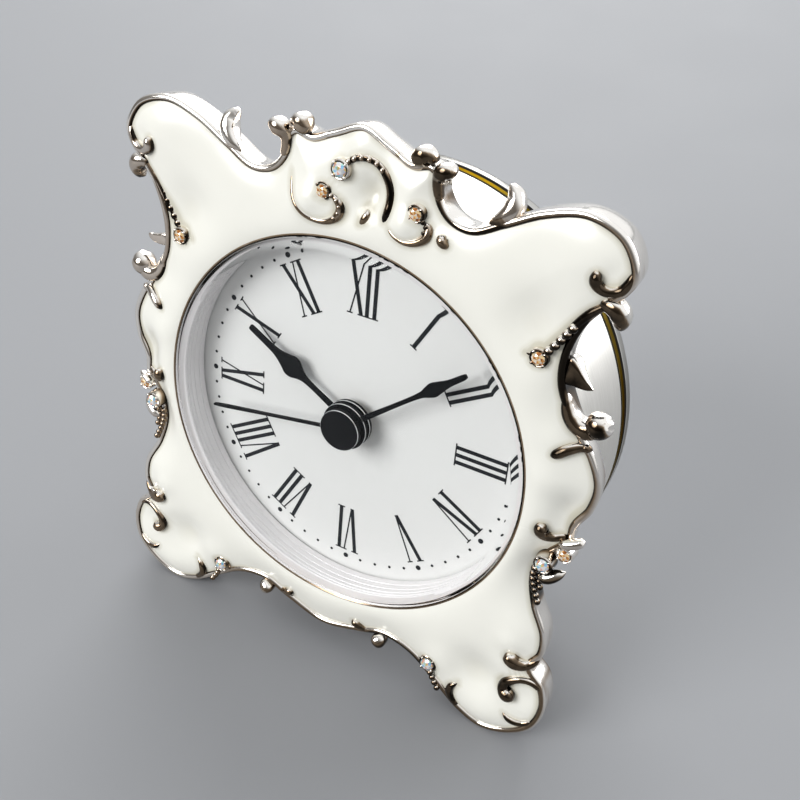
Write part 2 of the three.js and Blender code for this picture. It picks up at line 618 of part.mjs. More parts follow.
const settingDistance = modules.cannonToMinute * (TEETH.minute + TEETH.setting) / 2;
const settingPlace = plus(minutePlace, polar(settingDistance, SETTING_AT));

// Where the driven wheel's first tooth points, so that a gap of it faces a tooth of the driver
function meshed(driverTeeth, driverPhase, drivenTeeth, direction) {
  const offset = (direction - driverPhase) * driverTeeth / 360;
  return direction + 180 - (0.5 - offset) * 360 / drivenTeeth;
}

// A spur wheel with straight-sided teeth, its first tooth pointing along the phase angle
function spur(teeth, module, level, { bore = 0, phase = 0 } = {}) {
  const pitch = teeth * module / 2;
  const tip = pitch + ADDENDUM * module;
  const root = pitch - DEDENDUM * module;
  const step = 360 / teeth;
  const tooth = [[root, -0.5], [tip, -TIP_SHARE], [tip, TIP_SHARE]];
  const shape = new THREE.Shape();
  for (let i = 0; i < teeth; i += 1) {
    tooth.forEach(([radius, share], corner) => {
      const [x, y] = polar(radius, phase + (i + share) * step);
      if (i === 0 && corner === 0) shape.moveTo(x, y);
      else shape.lineTo(x, y);
    });
  }
  const wheel = plate(shape, levelBack(level), levelTop(level));
  return bore ? wheel.subtract(rod(bore, levelBack(level) - ABOVE, levelTop(level) + ABOVE)) : wheel;
}

const cannonInner = ARBOR + RUN_GAP;
const cannonOuter = cannonInner + CANNON_WALL;
const hourInner = cannonOuter + RUN_GAP;
const hourOuter = hourInner + HOUR_TUBE_WALL;
const pivotEnd = movementCoverBack + COVER_THICK / 2;
const pivotHole = ARBOR + RUN_GAP;

function gearTrain() {
  const thirdPhase = meshed(TEETH.secondsPinion, 0, TEETH.third, THIRD_AT);
  const centrePhase = meshed(TEETH.thirdPinion, 0, TEETH.centre, THIRD_AT + 180);
  const minutePhase = meshed(TEETH.cannon, 0, TEETH.minute, MINUTE_AT);
  const hourPhase = meshed(TEETH.minutePinion, 0, TEETH.hour, MINUTE_AT + 180);
  const settingPhase = meshed(TEETH.minute, minutePhase, TEETH.setting, SETTING_AT);
  const intermediatePhase = meshed(TEETH.rotorPinion, 0, TEETH.intermediate, ROTOR_AT + 180);
  const secondsPhase = meshed(TEETH.intermediatePinion, 0, TEETH.seconds, INTERMEDIATE_AT + 180);
  const bridgePivot = levelTop(LEVEL.third) - LEVEL_GAP / 2;
  const knobBore = coverBack - SEAT_GAP - KNOB.thick / 2 + SEAT_GAP;
  const studBore = ARBOR + RUN_GAP;
  return {
    hour_wheel: spur(TEETH.hour, modules.minuteToHour, LEVEL.hour, { bore: hourInner, phase: hourPhase })
      .add(tube(hourInner, hourOuter, levelBack(LEVEL.hour), hourHubTop, PIPE_SIDES)),
    cannon_pinion: spur(TEETH.cannon, modules.cannonToMinute, LEVEL.minute, { bore: cannonInner })
      .add(tube(cannonInner, cannonOuter, levelBack(LEVEL.centre), minuteHubTop, PIPE_SIDES)),
    centre_wheel: spur(TEETH.centre, modules.thirdToCentre, LEVEL.centre, { bore: hourInner, phase: centrePhase }),
    seconds_wheel: join([
      spur(TEETH.seconds, modules.intermediateToSeconds, LEVEL.seconds, { phase: secondsPhase }),
      spur(TEETH.secondsPinion, modules.secondsToThird, LEVEL.third),
      rod(NECK, levelBack(LEVEL.seconds), levelTop(LEVEL.third)),
      rod(ARBOR, pivotEnd, capTop - HAND_THICK - RUN_GAP),
    ]),
    third_wheel: join([
      spur(TEETH.third, modules.secondsToThird, LEVEL.third, { phase: thirdPhase }),
      spur(TEETH.thirdPinion, modules.thirdToCentre, LEVEL.centre),
      rod(ARBOR, pivotEnd, plateFront - PLATE_THICK / 2),
    ]),
    minute_wheel: join([
      spur(TEETH.minute, modules.cannonToMinute, LEVEL.minute, { bore: studBore, phase: minutePhase }),
      spur(TEETH.minutePinion, modules.minuteToHour, LEVEL.hour, { bore: studBore }),
      tube(studBore, 2 * studBore, levelTop(LEVEL.minute), levelBack(LEVEL.hour), PIPE_SIDES),
    ]),
    intermediate_wheel: join([
      spur(TEETH.intermediate, modules.rotorToIntermediate, LEVEL.intermediate, { phase: intermediatePhase }),
      spur(TEETH.intermediatePinion, modules.intermediateToSeconds, LEVEL.seconds),
      rod(ARBOR, pivotEnd, bridgePivot),
    ]),
    rotor: join([
      spur(TEETH.rotorPinion, modules.rotorToIntermediate, LEVEL.intermediate),
      rod(ROTOR_RADIUS, levelTop(LEVEL.rotor) - ROTOR_THICK, levelTop(LEVEL.rotor), [0, 0], HUB_SIDES),
      rod(ARBOR, pivotEnd, bridgePivot),
    ]),
    setting_stem: join([
      spur(TEETH.setting, modules.cannonToMinute, LEVEL.minute, { phase: settingPhase }),
      rod(STEM_RADIUS, knobBore, plateFront - PLATE_THICK / 2),
    ]),
  };
}

function movementBody() {
  const inner = MOVEMENT_RADIUS - MOVEMENT_WALL;
  const rimOuter = MOVEMENT_RADIUS + MOVEMENT_RIM;
  const rimBack = movementRimFront - MOVEMENT_RIM_THICK;
  const shell = turned([
    [hourOuter + RUN_GAP, plateFront], [MOVEMENT_RADIUS, plateFront], [MOVEMENT_RADIUS, movementRimFront],
    [rimOuter, movementRimFront], [rimOuter, rimBack], [MOVEMENT_RADIUS, rimBack],
    [MOVEMENT_RADIUS, wallEnd], [inner, wallEnd], [inner, plateBack], [hourOuter + RUN_GAP, plateBack],
  ], MOVEMENT_SIDES);
  const stud = rod(ARBOR, levelBack(LEVEL.minute), plateBack + PLATE_THICK / 2, minutePlace);
  const through = (radius, place) => rod(radius, plateBack - PLATE_THICK, plateFront + ABOVE, place);
  const screwHole = (place) =>
    rod(SCREW_RADIUS + RUN_GAP, rimBack - ABOVE, movementRimFront + SEAT_GAP, place);
  return cut(shell.add(stud), [
    through(pivotHole, thirdPlace), through(STEM_RADIUS + RUN_GAP, settingPlace),
    ...movementScrewPlaces.map(screwHole),
  ]);
}

const movementScrewPlaces = Array.from({ length: MOVEMENT_SCREWS }, (_, i) =>
  polar(MOVEMENT_RADIUS + MOVEMENT_RIM / 2 + RUN_GAP, i * 360 / MOVEMENT_SCREWS));
const movementScrewHead = movementRimFront - MOVEMENT_RIM_THICK - SEAT_GAP - SCREW_HEAD.thick;
const movementScrewLength = MOVEMENT_RIM_THICK + 2 * SEAT_GAP + MOVEMENT_SCREW_REACH;

function holderBody() {
  const bore = MOVEMENT_RADIUS + SEAT_GAP;
  const end = coverFront + SEAT_GAP;
  const shell = turned([
    [bore, holderFront], [sleeveOuter, holderFront], [sleeveOuter, end],
    [sleeveOuter - HOLDER_WALL, end], [sleeveOuter - HOLDER_WALL, holderBack], [bore, holderBack],
  ], MOVEMENT_SIDES);
  return cut(shell, movementScrewPlaces.map((place) =>
    rod(SCREW_RADIUS + RUN_GAP, holderBack - ABOVE, holderFront - SEAT_GAP / 2, place)));
}

function movementCoverBody() {
  const disc = rod(MOVEMENT_RADIUS, movementCoverBack, movementCoverFront, [0, 0], MOVEMENT_SIDES);
  const through = (radius, place, sides) =>
    rod(radius, movementCoverBack - ABOVE, movementCoverFront + ABOVE, place, sides);
  return cut(disc, [
    through(CAP_PLUG + 2 * RUN_GAP, cellPlace, CAP_SIDES), through(STEM_RADIUS + RUN_GAP, settingPlace),
    ...[[0, 0], thirdPlace, intermediatePlace, rotorPlace].map((place) => through(pivotHole, place)),
  ]);
}

// A flat bridge from the wall of the movement over the intermediate wheel and the rotor
function trainBridgeBody() {
  const reach = MOVEMENT_RADIUS - MOVEMENT_WALL - SEAT_GAP;
  const margin = 2 * ARBOR + RUN_GAP;
  const shape = new THREE.Shape();
  const [low, high] = [intermediatePlace, rotorPlace];
  shape.moveTo(low[0] - margin, low[1] - margin);
  shape.lineTo(low[0] + margin, low[1] - margin);
  shape.absarc(0, 0, reach, ...BRIDGE_FOOT.map(degrees), false);
  shape.lineTo(high[0], high[1] + margin);
  shape.lineTo(high[0] - margin, high[1]);
  const [back, front] = [levelBack(LEVEL.third), levelTop(LEVEL.third)];
  const holes = [low, high].map((place) => rod(pivotHole, back - ABOVE, front + ABOVE, place));
  return cut(plate(shape, back, front), holes);
}

// Stator: a ring round the rotor with an arm to each end of the coil core
const statorFront = levelTop(LEVEL.rotor) - (ROTOR_THICK - STATOR.thick) / 2;
const statorBack = statorFront - STATOR.thick;
const coreFront = statorBack - SEAT_GAP;
const coreBack = coreFront - CORE.thick;
const coilMiddle = (coreFront + coreBack) / 2;
const coreEnd = COIL.length / 2 + CORE.overhang;

function statorBody() {
  const [x, y] = rotorPlace;
  const bore = ROTOR_RADIUS + STATOR.gap;
  const ring = rod(bore + STATOR.ring, statorBack, statorFront, [x, y], HUB_SIDES);
  const hole = rod(bore, statorBack - ABOVE, statorFront + ABOVE, [x, y], HUB_SIDES);
  const armEnd = coreEnd - STATOR.arm / 2;
  const barTop = COIL.up - COIL.flangeHeight / 2 - SEAT_GAP;
  const bar = block(2 * coreEnd, STATOR.arm, statorBack, statorFront, [0, barTop - STATOR.arm / 2]);
  const arms = [-armEnd, armEnd].map((place) =>
    block(STATOR.arm, COIL.up - barTop + STATOR.arm, statorBack, statorFront,
      [place, (COIL.up + CORE.width / 2 + barTop - STATOR.arm) / 2]));
  return join([ring, bar, ...arms]).subtract(hole);
}

function coilBody() {
  const bobbin = (length, height, depth) => new THREE.BoxGeometry(length, height, depth);
  const ends = [-1, 1].map((side) => solid(bobbin(COIL.flange, COIL.flangeHeight, COIL.depth)
    .translate(side * (COIL.length - COIL.flange) / 2, 0, 0)));
  const winding = new THREE.CylinderGeometry(1, 1, COIL.length, HUB_SIDES).rotateZ(Math.PI / 2);
  winding.scale(1, COIL.height / 2, (COIL.depth - SEAT_GAP) / 2);
  const slot = solid(bobbin(2 * COIL.length, CORE.width + 2 * RUN_GAP, CORE.thick + 2 * RUN_GAP));
  return join([solid(winding), ...ends]).subtract(slot);
}

// Assembly

const clock = new THREE.Group();

function piece(name, body, [color, roughness, metalness], parent, [x, y, z] = [0, 0, 0]) {
  const material = new THREE.MeshStandardMaterial({ color, roughness, metalness });
  const mesh = new THREE.Mesh(geometryOf(body), material);
  mesh.name = name;
  mesh.position.set(x, y, z);
  parent.add(mesh);
  return mesh;
}

function section(parent) {
  const group = new THREE.Group();
  parent.add(group);
  return group;
}

function addFrame() {
  const frame = section(clock);
  const outline = frameOutline();
  piece('frame_casting', frameCasting(outline), SILVER, frame);
  piece('enamel_field', enamelField(outline), ENAMEL, frame);
  for (const stone of eachStone()) {
    piece(stone.name, stoneBody(stone), stone.finish, frame, [...stone.at, stone.z]);
  }
}

function addDial() {
  const dial = section(clock);
  const ringOuter = OPENING_RADIUS - RUN_GAP;
  piece('lens', lensBody(), LENS, dial);
  const ring = tube(ringOuter - DIAL_RING_WALL, ringOuter, dialFace + SEAT_GAP, ringFront);
  piece('dial_ring', ring, DIAL_WHITE, dial);
  piece('dial', tube(hourOuter + RUN_GAP, DIAL_RADIUS, dialBack, dialFace), DIAL_WHITE, dial);
  const turn = (mesh, angle) => {
    mesh.rotation.z = degrees(angle - 90);
  };
  const [hourBore, minuteBore] = [hourOuter + RUN_GAP, cannonOuter + RUN_GAP];
  const hour = handBody(HOUR_HAND, HOUR_HUB_RADIUS, hourHubBottom, hourHubTop, hourBore);
  const minute = handBody(MINUTE_HAND, MINUTE_HUB_RADIUS, minuteHubBottom, minuteHubTop, minuteBore);
  turn(piece('hour_hand', hour, BLACK, dial), HOUR_HAND.angle);
  turn(piece('minute_hand', minute, BLACK, dial), MINUTE_HAND.angle);
  turn(piece('second_hand', secondHandBody(), BLACK, dial), SECOND_HAND.angle);
}

function addDrum() {
  const drum = section(clock);
  piece('case_drum', drumBody(), BRUSHED, drum);
  const ring = tube(drumInner, DRUM_RADIUS - DRUM_WALL / 2, trimFront - TRIM_RING, trimFront);
  piece('brass_ring', ring, BRASS, drum);
  piece('back_cover', coverBody(settingPlace), STEEL, drum);
  piece('battery_cap', batteryCapBody(), STEEL, drum, [...cellPlace, 0]);
  piece('setting_knob', knobBody(), BLACK, drum, [...settingPlace, 0]);
  const reach = DRUM_FLANGE - SCREW_HEAD.thick + SEAT_GAP + CASE_SCREW_REACH - RUN_GAP;
  caseScrewPlaces.forEach((place, i) => {
    piece(`case_screw_${i + 1}`, screwBody(reach, flangeBack), STEEL, drum, [...place, 0]);
  });
}

function addMovement() {
  const movement = section(clock);
  piece('movement_holder', holderBody(), PLASTIC, movement);
  piece('movement_body', movementBody(), PLASTIC, movement);
  piece('movement_cover', movementCoverBody(), PLASTIC, movement);
  piece('train_bridge', trainBridgeBody(), PLASTIC, movement);
  movementScrewPlaces.forEach((place, i) => {
    const screw = screwBody(movementScrewLength - RUN_GAP, movementScrewHead);
    piece(`movement_screw_${i + 1}`, screw, STEEL, movement, [...place, 0]);
  });
  const places = {
    third_wheel: thirdPlace, minute_wheel: minutePlace, intermediate_wheel: intermediatePlace,
    rotor: rotorPlace, setting_stem: settingPlace,
  };
  for (const [name, body] of Object.entries(gearTrain())) {
    piece(name, body, name === 'rotor' ? STEEL : BRASS, movement, [...(places[name] ?? [0, 0]), 0]);
  }
  piece('stator', statorBody(), STEEL, movement);
  piece('coil', coilBody(), COPPER, movement, [0, COIL.up, coilMiddle]);
  piece('coil_core', block(2 * coreEnd, CORE.width, coreBack, coreFront), STEEL, movement, [0, COIL.up, 0]);
  addElectrics(movement);
}

function addElectrics(movement) {
  const boardBack = movementCoverFront + SEAT_GAP;
  const boardFront = boardBack + BOARD.thick;
  const board = block(BOARD.width, BOARD.height, boardBack, boardFront);
  piece('circuit_board', board, BOARD_GREEN, movement, [BOARD.right, 0, 0]);
  const can = solid(new THREE.CylinderGeometry(QUARTZ.radius, QUARTZ.radius, QUARTZ.length, PIPE_SIDES));
  piece('quartz_can', can, STEEL, movement, [BOARD.right, 0, boardFront + SEAT_GAP + QUARTZ.radius]);
  const cell = rod(CELL_RADIUS, cellBack, cellFront, [0, 0], CAP_SIDES);
  piece('button_cell', cell, STEEL, movement, [...cellPlace, 0]);
  const negativeBack = cellFront + SEAT_GAP;
  const negative = block(CONTACT.width, CONTACT.length, negativeBack, negativeBack + CONTACT.thick);
  piece('contact_negative', negative, BRASS, movement, [...cellPlace, 0]);
  const sideways = CELL_RADIUS + SEAT_GAP + CONTACT.thick / 2;
  const positive = block(CONTACT.thick, CONTACT.width, boardBack, cellFront);
  piece('contact_positive', positive, BRASS, movement, [-sideways, -CELL_DROP, 0]);
}

addFrame();
addDial();
addDrum();
addMovement();

// Lean the clock back, then stand it on z = 0 with the middle of its box over the origin
clock.rotation.x = Math.PI / 2 - LEAN;
const stand = new THREE.Group();
stand.add(clock);
stand.updateMatrixWorld(true);
const bounds = new THREE.Box3().setFromObject(stand, true);
const middle = bounds.getCenter(new THREE.Vector3());
stand.position.set(-middle.x, -middle.y, -bounds.min.z);

export default stand;
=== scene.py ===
# %% [markdown]
# # A rococo table clock
# The clock has a cast silver frame filled with ivory enamel, a white dial under a bevelled lens and
# a brushed drum behind it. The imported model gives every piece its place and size. This lesson loads
# it, then builds finished surfaces over it: first the frame, then dial, drum and studio.

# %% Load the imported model
import json
from math import cos, pi, radians, sin

import bmesh
import bpy
import numpy as np
from mathutils import Matrix, Vector
from mathutils.bvhtree import BVHTree
from mathutils.kdtree import KDTree


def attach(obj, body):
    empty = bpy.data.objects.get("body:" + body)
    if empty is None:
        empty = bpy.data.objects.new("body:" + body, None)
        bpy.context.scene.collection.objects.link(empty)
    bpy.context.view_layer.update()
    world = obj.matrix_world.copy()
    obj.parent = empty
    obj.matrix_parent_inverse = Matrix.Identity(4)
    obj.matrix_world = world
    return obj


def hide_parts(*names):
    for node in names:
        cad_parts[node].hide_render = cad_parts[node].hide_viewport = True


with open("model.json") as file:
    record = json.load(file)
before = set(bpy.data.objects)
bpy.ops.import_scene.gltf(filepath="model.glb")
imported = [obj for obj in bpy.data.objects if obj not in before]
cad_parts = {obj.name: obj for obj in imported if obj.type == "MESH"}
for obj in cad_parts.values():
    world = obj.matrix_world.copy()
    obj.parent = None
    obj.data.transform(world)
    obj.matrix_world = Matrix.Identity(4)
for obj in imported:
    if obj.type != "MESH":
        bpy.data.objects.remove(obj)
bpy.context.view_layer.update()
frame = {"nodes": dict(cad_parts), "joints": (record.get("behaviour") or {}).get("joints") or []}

# %% [markdown]
# ## A drawing board on the dial
# The clock leans back, so its own drawing is easier to read on a board that lies on the dial:
# x to the right, y up, z out of the dial, in millimetres, with z = 0 on the bright front edges.
# The seconds joint gives the centre and the direction of that board, and one matrix carries
# every finished mesh from the board to its place, so each object itself stays at the origin.

# %% The board and its matrix
second_joint = next(j for j in frame["joints"] if j["name"] == "second_turn")
CENTRE = Vector(second_joint["pos_m"])
OUT = -Vector(second_joint["axis"]).normalized()
RIGHT = Vector((1, 0, 0))
UP = OUT.cross(RIGHT)
MM = 0.001
AXES = Matrix((RIGHT, UP, OUT)).transposed().to_4x4()
BOARD = Matrix.Translation(CENTRE) @ AXES @ Matrix.Scale(MM, 4)
LEAN = np.arctan2(OUT.z, -OUT.y)
print("the clock leans back", round(np.degrees(LEAN), 2), "degrees")


def on_floor(points):
    """The points, with any that would sink under the table lifted to it along the board's y."""
    points = np.array(points, float)
    height = (CENTRE.z / MM) + points[:, 1] * UP.z + points[:, 2] * OUT.z
    points[:, 1] += np.maximum(-height, 0) / UP.z
    return points


# %% [markdown]
# ## Finishes
# Two effects come back in most finishes. *Mottle* mixes two tones with a soft noise and gives its
# mask for the roughness and the bump as well. The second group takes a colour through a warm tone to
# a dark one by a mask that each mesh carries as an attribute. That mask is partly patina, as old
# plating turns brown and then black in the hollows of a casting, and partly painted shade. Both are
# node groups that a finish uses with its own values.

# %% Node groups for the finishes
def new_tree(kind, name, inputs, outputs):
    """A tree with its inputs (label, socket, value) and outputs (label, socket), and both ends."""
    tree = bpy.data.node_groups.new(name, kind)
    for label, socket, value in inputs:
        made = tree.interface.new_socket(label, in_out="INPUT", socket_type=socket)
        if value is not None:
            made.default_value = value
    for label, socket in outputs:
        tree.interface.new_socket(label, in_out="OUTPUT", socket_type=socket)
    return tree, tree.nodes.new("NodeGroupInput"), tree.nodes.new("NodeGroupOutput")


def node(tree, kind, settings=(), **values):
    made = tree.nodes.new(kind)
    for key, value in dict(settings).items():
        setattr(made, key, value)
    for key, value in values.items():
        made.inputs[key.replace("_", " ")].default_value = value
    return made


def wire(tree, *links):
    """Joins nodes; each link is a node, its output, the next node and its input."""
    for source, output, target, into in links:
        tree.links.new(source.outputs[output], target.inputs[into])


COLOR, FLOAT, VECTOR = "NodeSocketColor", "NodeSocketFloat", "NodeSocketVector"
WHITE = (1, 1, 1, 1)

mottle, m_in, m_out = new_tree(
    "ShaderNodeTree", "mottle",
    [("Light", COLOR, WHITE), ("Dark", COLOR, WHITE), ("Scale", FLOAT, 300),
     ("Stretch", VECTOR, (1, 1, 1))],
    [("Color", COLOR), ("Mask", FLOAT)])
where = node(mottle, "ShaderNodeTexCoord")
turn = node(mottle, "ShaderNodeMapping", {"vector_type": "TEXTURE"}, Location=CENTRE,
            Rotation=(pi / 2 - LEAN, 0, 0))
stretch = node(mottle, "ShaderNodeVectorMath", {"operation": "MULTIPLY"})
cloud = node(mottle, "ShaderNodeTexNoise", Detail=4.0, Roughness=0.6)
tones = node(mottle, "ShaderNodeMix", {"data_type": "RGBA"})
wire(mottle, (where, "Object", turn, "Vector"), (turn, "Vector", stretch, 0),
     (m_in, "Stretch", stretch, 1), (stretch, "Vector", cloud, "Vector"),
     (m_in, "Scale", cloud, "Scale"), (cloud, "Fac", tones, "Factor"), (m_in, "Dark", tones, "A"),
     (m_in, "Light", tones, "B"), (tones, "Result", m_out, "Color"), (cloud, "Fac", m_out, "Mask"))

# Patina and painted shade: a colour taken to a warm and a dark tone by the mesh's mask
patina_and_shade_tone, h_in, h_out = new_tree(
    "ShaderNodeTree", "patina and shade tone",
    [("Color", COLOR, WHITE), ("Warm", COLOR, WHITE), ("Tone", COLOR, WHITE), ("Patina And Shade", FLOAT, 0),
     ("Grain", FLOAT, 0.5)],
    [("Color", COLOR)])
patchy = node(patina_and_shade_tone, "ShaderNodeMapRange", To_Min=0.7, To_Max=1.3)
depth = node(patina_and_shade_tone, "ShaderNodeMath", {"operation": "MULTIPLY"})
wire(patina_and_shade_tone, (h_in, "Grain", patchy, "Value"), (patchy, "Result", depth, 0),
     (h_in, "Patina And Shade", depth, 1))
colour = h_in.outputs["Color"]
for label, start, end in (("Warm", 0.2, 0.5), ("Tone", 0.4, 0.8)):
    stage = node(patina_and_shade_tone, "ShaderNodeMapRange", From_Min=start, From_Max=end)
    darken = node(patina_and_shade_tone, "ShaderNodeMix", {"data_type": "RGBA"})
    wire(patina_and_shade_tone, (depth, "Value", stage, "Value"), (stage, "Result", darken, "Factor"))
    patina_and_shade_tone.links.new(colour, darken.inputs["A"])
    patina_and_shade_tone.links.new(h_in.outputs[label], darken.inputs["B"])
    colour = darken.outputs["Result"]
patina_and_shade_tone.links.new(colour, h_out.inputs["Color"])
print("node groups:", mottle.name, "and", patina_and_shade_tone.name)


# %% A function that writes one finish
BUMP_DEPTH = 0.0001


def rgb(r, g, b):
    return (r, g, b, 1)


def finish(name, light, dark, scale, rough, bump=0.0, stretch=(1, 1, 1), tones=None, facet_glints_and_tint=False,
           **sockets):
    """A procedural finish: two tones, a roughness range and a bump from the mottle's mask."""
    material = bpy.data.materials.new(name)
    material.use_nodes = True
    tree = material.node_tree
    shader = tree.nodes["Principled BSDF"]
    grain = node(tree, "ShaderNodeGroup", {"node_tree": mottle}, Light=rgb(*light), Dark=rgb(*dark),
                 Scale=scale, Stretch=stretch)
    colour = grain.outputs["Color"]
    # Facet colours: painted glints over the stone's own tint
    if facet_glints_and_tint:
        facet = node(tree, "ShaderNodeAttribute", {"attribute_name": "facet_glints_and_tint"})
        tint = node(tree, "ShaderNodeMix", {"data_type": "RGBA", "blend_type": "MULTIPLY"},
                    Factor=1.0)
        tree.links.new(colour, tint.inputs["A"])
        tree.links.new(facet.outputs["Color"], tint.inputs["B"])
        colour = tint.outputs["Result"]
    # Patina and painted shade, by the mask that the mesh carries
    if tones:
        patina_and_shade = node(tree, "ShaderNodeAttribute", {"attribute_name": "patina_and_shade"})
        shade = node(tree, "ShaderNodeGroup", {"node_tree": patina_and_shade_tone}, Warm=rgb(*tones[0]),
                     Tone=rgb(*tones[1]))
        wire(tree, (patina_and_shade, "Fac", shade, "Patina And Shade"), (grain, "Mask", shade, "Grain"))
        tree.links.new(colour, shade.inputs["Color"])
        colour = shade.outputs["Color"]
    tree.links.new(colour, shader.inputs["Base Color"])
    spread = node(tree, "ShaderNodeMapRange", To_Min=rough[0], To_Max=rough[1])
    wire(tree, (grain, "Mask", spread, "Value"), (spread, "Result", shader, "Roughness"))
    if bump:
        relief = node(tree, "ShaderNodeBump", Strength=bump, Distance=BUMP_DEPTH)
        wire(tree, (grain, "Mask", relief, "Height"), (relief, "Normal", shader, "Normal"))
    for key, value in sockets.items():
        shader.inputs[key.replace("_", " ")].default_value = value
    return material


def clear_shadow(material):
    """Lets the light of lamps and room pass straight through a pane, as through thin real glass."""
    tree = material.node_tree
    path = node(tree, "ShaderNodeLightPath")
    passing = node(tree, "ShaderNodeMath", {"operation": "MAXIMUM"})
    clear = node(tree, "ShaderNodeBsdfTransparent")
    either = node(tree, "ShaderNodeMixShader")
    wire(tree, (path, "Is Shadow Ray", passing, 0), (path, "Is Diffuse Ray", passing, 1),
         (passing, "Value", either, "Fac"), (tree.nodes["Principled BSDF"], "BSDF", either, 1),
         (clear, "BSDF", either, 2), (either, "Shader", tree.nodes["Material Output"], "Surface"))


# %% The finishes of this clock
# Warm and dark tones: on the silver patina and painted shade, on the enamel painted shade
silver = finish("cast silver", (0.96, 0.925, 0.875), (0.88, 0.835, 0.775), 260, (0.08, 0.18), 0.10,
                tones=((0.40, 0.29, 0.19), (0.020, 0.016, 0.012)), Metallic=1.0)
enamel = finish("ivory enamel", (0.90, 0.895, 0.83), (0.87, 0.865, 0.79), 60, (0.22, 0.30), 0.03,
                tones=((0.72, 0.70, 0.60), (0.50, 0.47, 0.36)), Coat_Weight=0.4,
                Coat_Roughness=0.14)
lens_glass = finish("lens glass", (0.99, 1.0, 1.0), (0.97, 0.99, 0.99), 40, (0.0, 0.01),
                    Transmission_Weight=1.0, IOR=1.49, Specular_Tint=rgb(0.06, 0.06, 0.06))
clear_shadow(lens_glass)
dial_white = finish("dial white", (0.80, 0.80, 0.785), (0.77, 0.77, 0.755), 900, (0.42, 0.55), 0.02)
ring_white = finish("ring white", (0.84, 0.815, 0.82), (0.77, 0.745, 0.75), 200, (0.25, 0.35), 0.02)
print_black = finish("print black", (0.014, 0.016, 0.019), (0.008, 0.009, 0.011), 2500, (0.5, 0.65),
                     Specular_IOR_Level=0.1)
hand_black = finish("hand black", (0.005, 0.006, 0.007), (0.003, 0.003, 0.004), 900, (0.36, 0.52),
                    0.03, Specular_IOR_Level=0.05)
hub_highlight = finish("hub highlight", (0.97, 0.97, 0.97), (0.90, 0.90, 0.90), 900, (0.25, 0.35), Metallic=1.0)
brushed = finish("brushed drum", (0.98, 0.96, 0.91), (0.72, 0.69, 0.63), 260, (0.24, 0.40), 0.40,
                 stretch=(1, 1, 26), Metallic=1.0)
polished = finish("polished rim", (0.70, 0.69, 0.66), (0.58, 0.57, 0.55), 220, (0.08, 0.18), 0.05,
                  Metallic=1.0, Specular_Tint=rgb(0.50, 0.49, 0.47))
satin_steel = finish("satin steel", (0.70, 0.70, 0.70), (0.52, 0.52, 0.53), 320, (0.30, 0.45), 0.2,
                     stretch=(1, 30, 1), Metallic=1.0)
brass = finish("polished brass", (0.23, 0.17, 0.06), (0.15, 0.11, 0.036), 500, (0.16, 0.30), 0.05,
               Metallic=1.0, Specular_Tint=rgb(0.30, 0.25, 0.14))
black_seam = finish("black seam", (0.020, 0.018, 0.016), (0.008, 0.008, 0.008), 700, (0.4, 0.6),
                    0.05, Specular_IOR_Level=0.0)
knob_black = finish("black plastic", (0.035, 0.035, 0.037), (0.020, 0.020, 0.022), 1200,
                    (0.38, 0.55), 0.15)
movement_white = finish("movement plastic", (0.78, 0.77, 0.73), (0.70, 0.69, 0.65), 500,
                        (0.45, 0.6), 0.1)
wheel_brass = finish("wheel brass", (0.74, 0.56, 0.25), (0.60, 0.43, 0.17), 900, (0.25, 0.4), 0.1,
                     Metallic=1.0)
iron = finish("bare iron", (0.52, 0.53, 0.54), (0.40, 0.40, 0.42), 700, (0.3, 0.45), 0.1,
              Metallic=1.0)
copper = finish("copper wire", (0.72, 0.36, 0.18), (0.50, 0.22, 0.10), 600, (0.3, 0.45), 0.5,
                stretch=(18, 1, 1), Metallic=1.0)
board_green = finish("board lacquer", (0.035, 0.13, 0.06), (0.02, 0.09, 0.04), 600, (0.3, 0.45),
                     0.1)
clear_stone = finish("clear stone", (1.0, 1.0, 1.0), (0.80, 0.80, 0.80), 2200, (0.02, 0.12),
                     facet_glints_and_tint=True, Metallic=0.45, IOR=1.75, Coat_Weight=0.3, Coat_Roughness=0.02)
amber_stone = finish("amber stone", (1.0, 1.0, 1.0), (0.74, 0.66, 0.60), 2200, (0.02, 0.12),
                     facet_glints_and_tint=True, Metallic=0.4, IOR=1.7, Coat_Weight=0.3, Coat_Roughness=0.02)
print(len(bpy.data.materials), "materials")

# %% [markdown]
# ## From points to a finished piece
# Every piece is made on the board, carried to the frame by the board's matrix and given a body to
# ride on. Normals are recalculated on the closed mesh, and edges sharper than a chosen angle stay
# crisp while the rest is smooth.

# %% Helpers that finish a piece
MERGE_ON_BOARD, MERGE_IN_PLACE = 2e-5, 1e-7
# Sides of a turned piece, by its size
FINE, WIDE, SMALL = 192, 160, 96


def outward(mesh, merge=MERGE_ON_BOARD):
    """Merges doubled points and turns every face outwards."""
    work = bmesh.new()
    work.from_mesh(mesh)
    bmesh.ops.remove_doubles(work, verts=work.verts, dist=merge)
    bmesh.ops.recalc_face_normals(work, faces=work.faces)
    work.to_mesh(mesh)
    work.free()
    return mesh


def placed(name, data):
    """An object with this mesh, curve, lamp or camera, in the scene."""
    made = bpy.data.objects.new(name, data)
    bpy.context.scene.collection.objects.link(made)
    return made


def piece(name, mesh, material, body="case", *, replaced=(), crisp=35):
    """Carries a mesh from the board to its place and makes it a piece that rides on a body."""
    mesh.name = name
    mesh.transform(BOARD)
    outward(mesh, MERGE_IN_PLACE)
    mesh.shade_smooth()
    mesh.set_sharp_from_angle(angle=radians(crisp))
    if not mesh.materials:
        mesh.materials.append(material)
    made = placed(name, mesh)
    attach(made, body)
    if replaced:
        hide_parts(*replaced)
    print(f"{name}: {len(mesh.polygons)} faces on {body}")


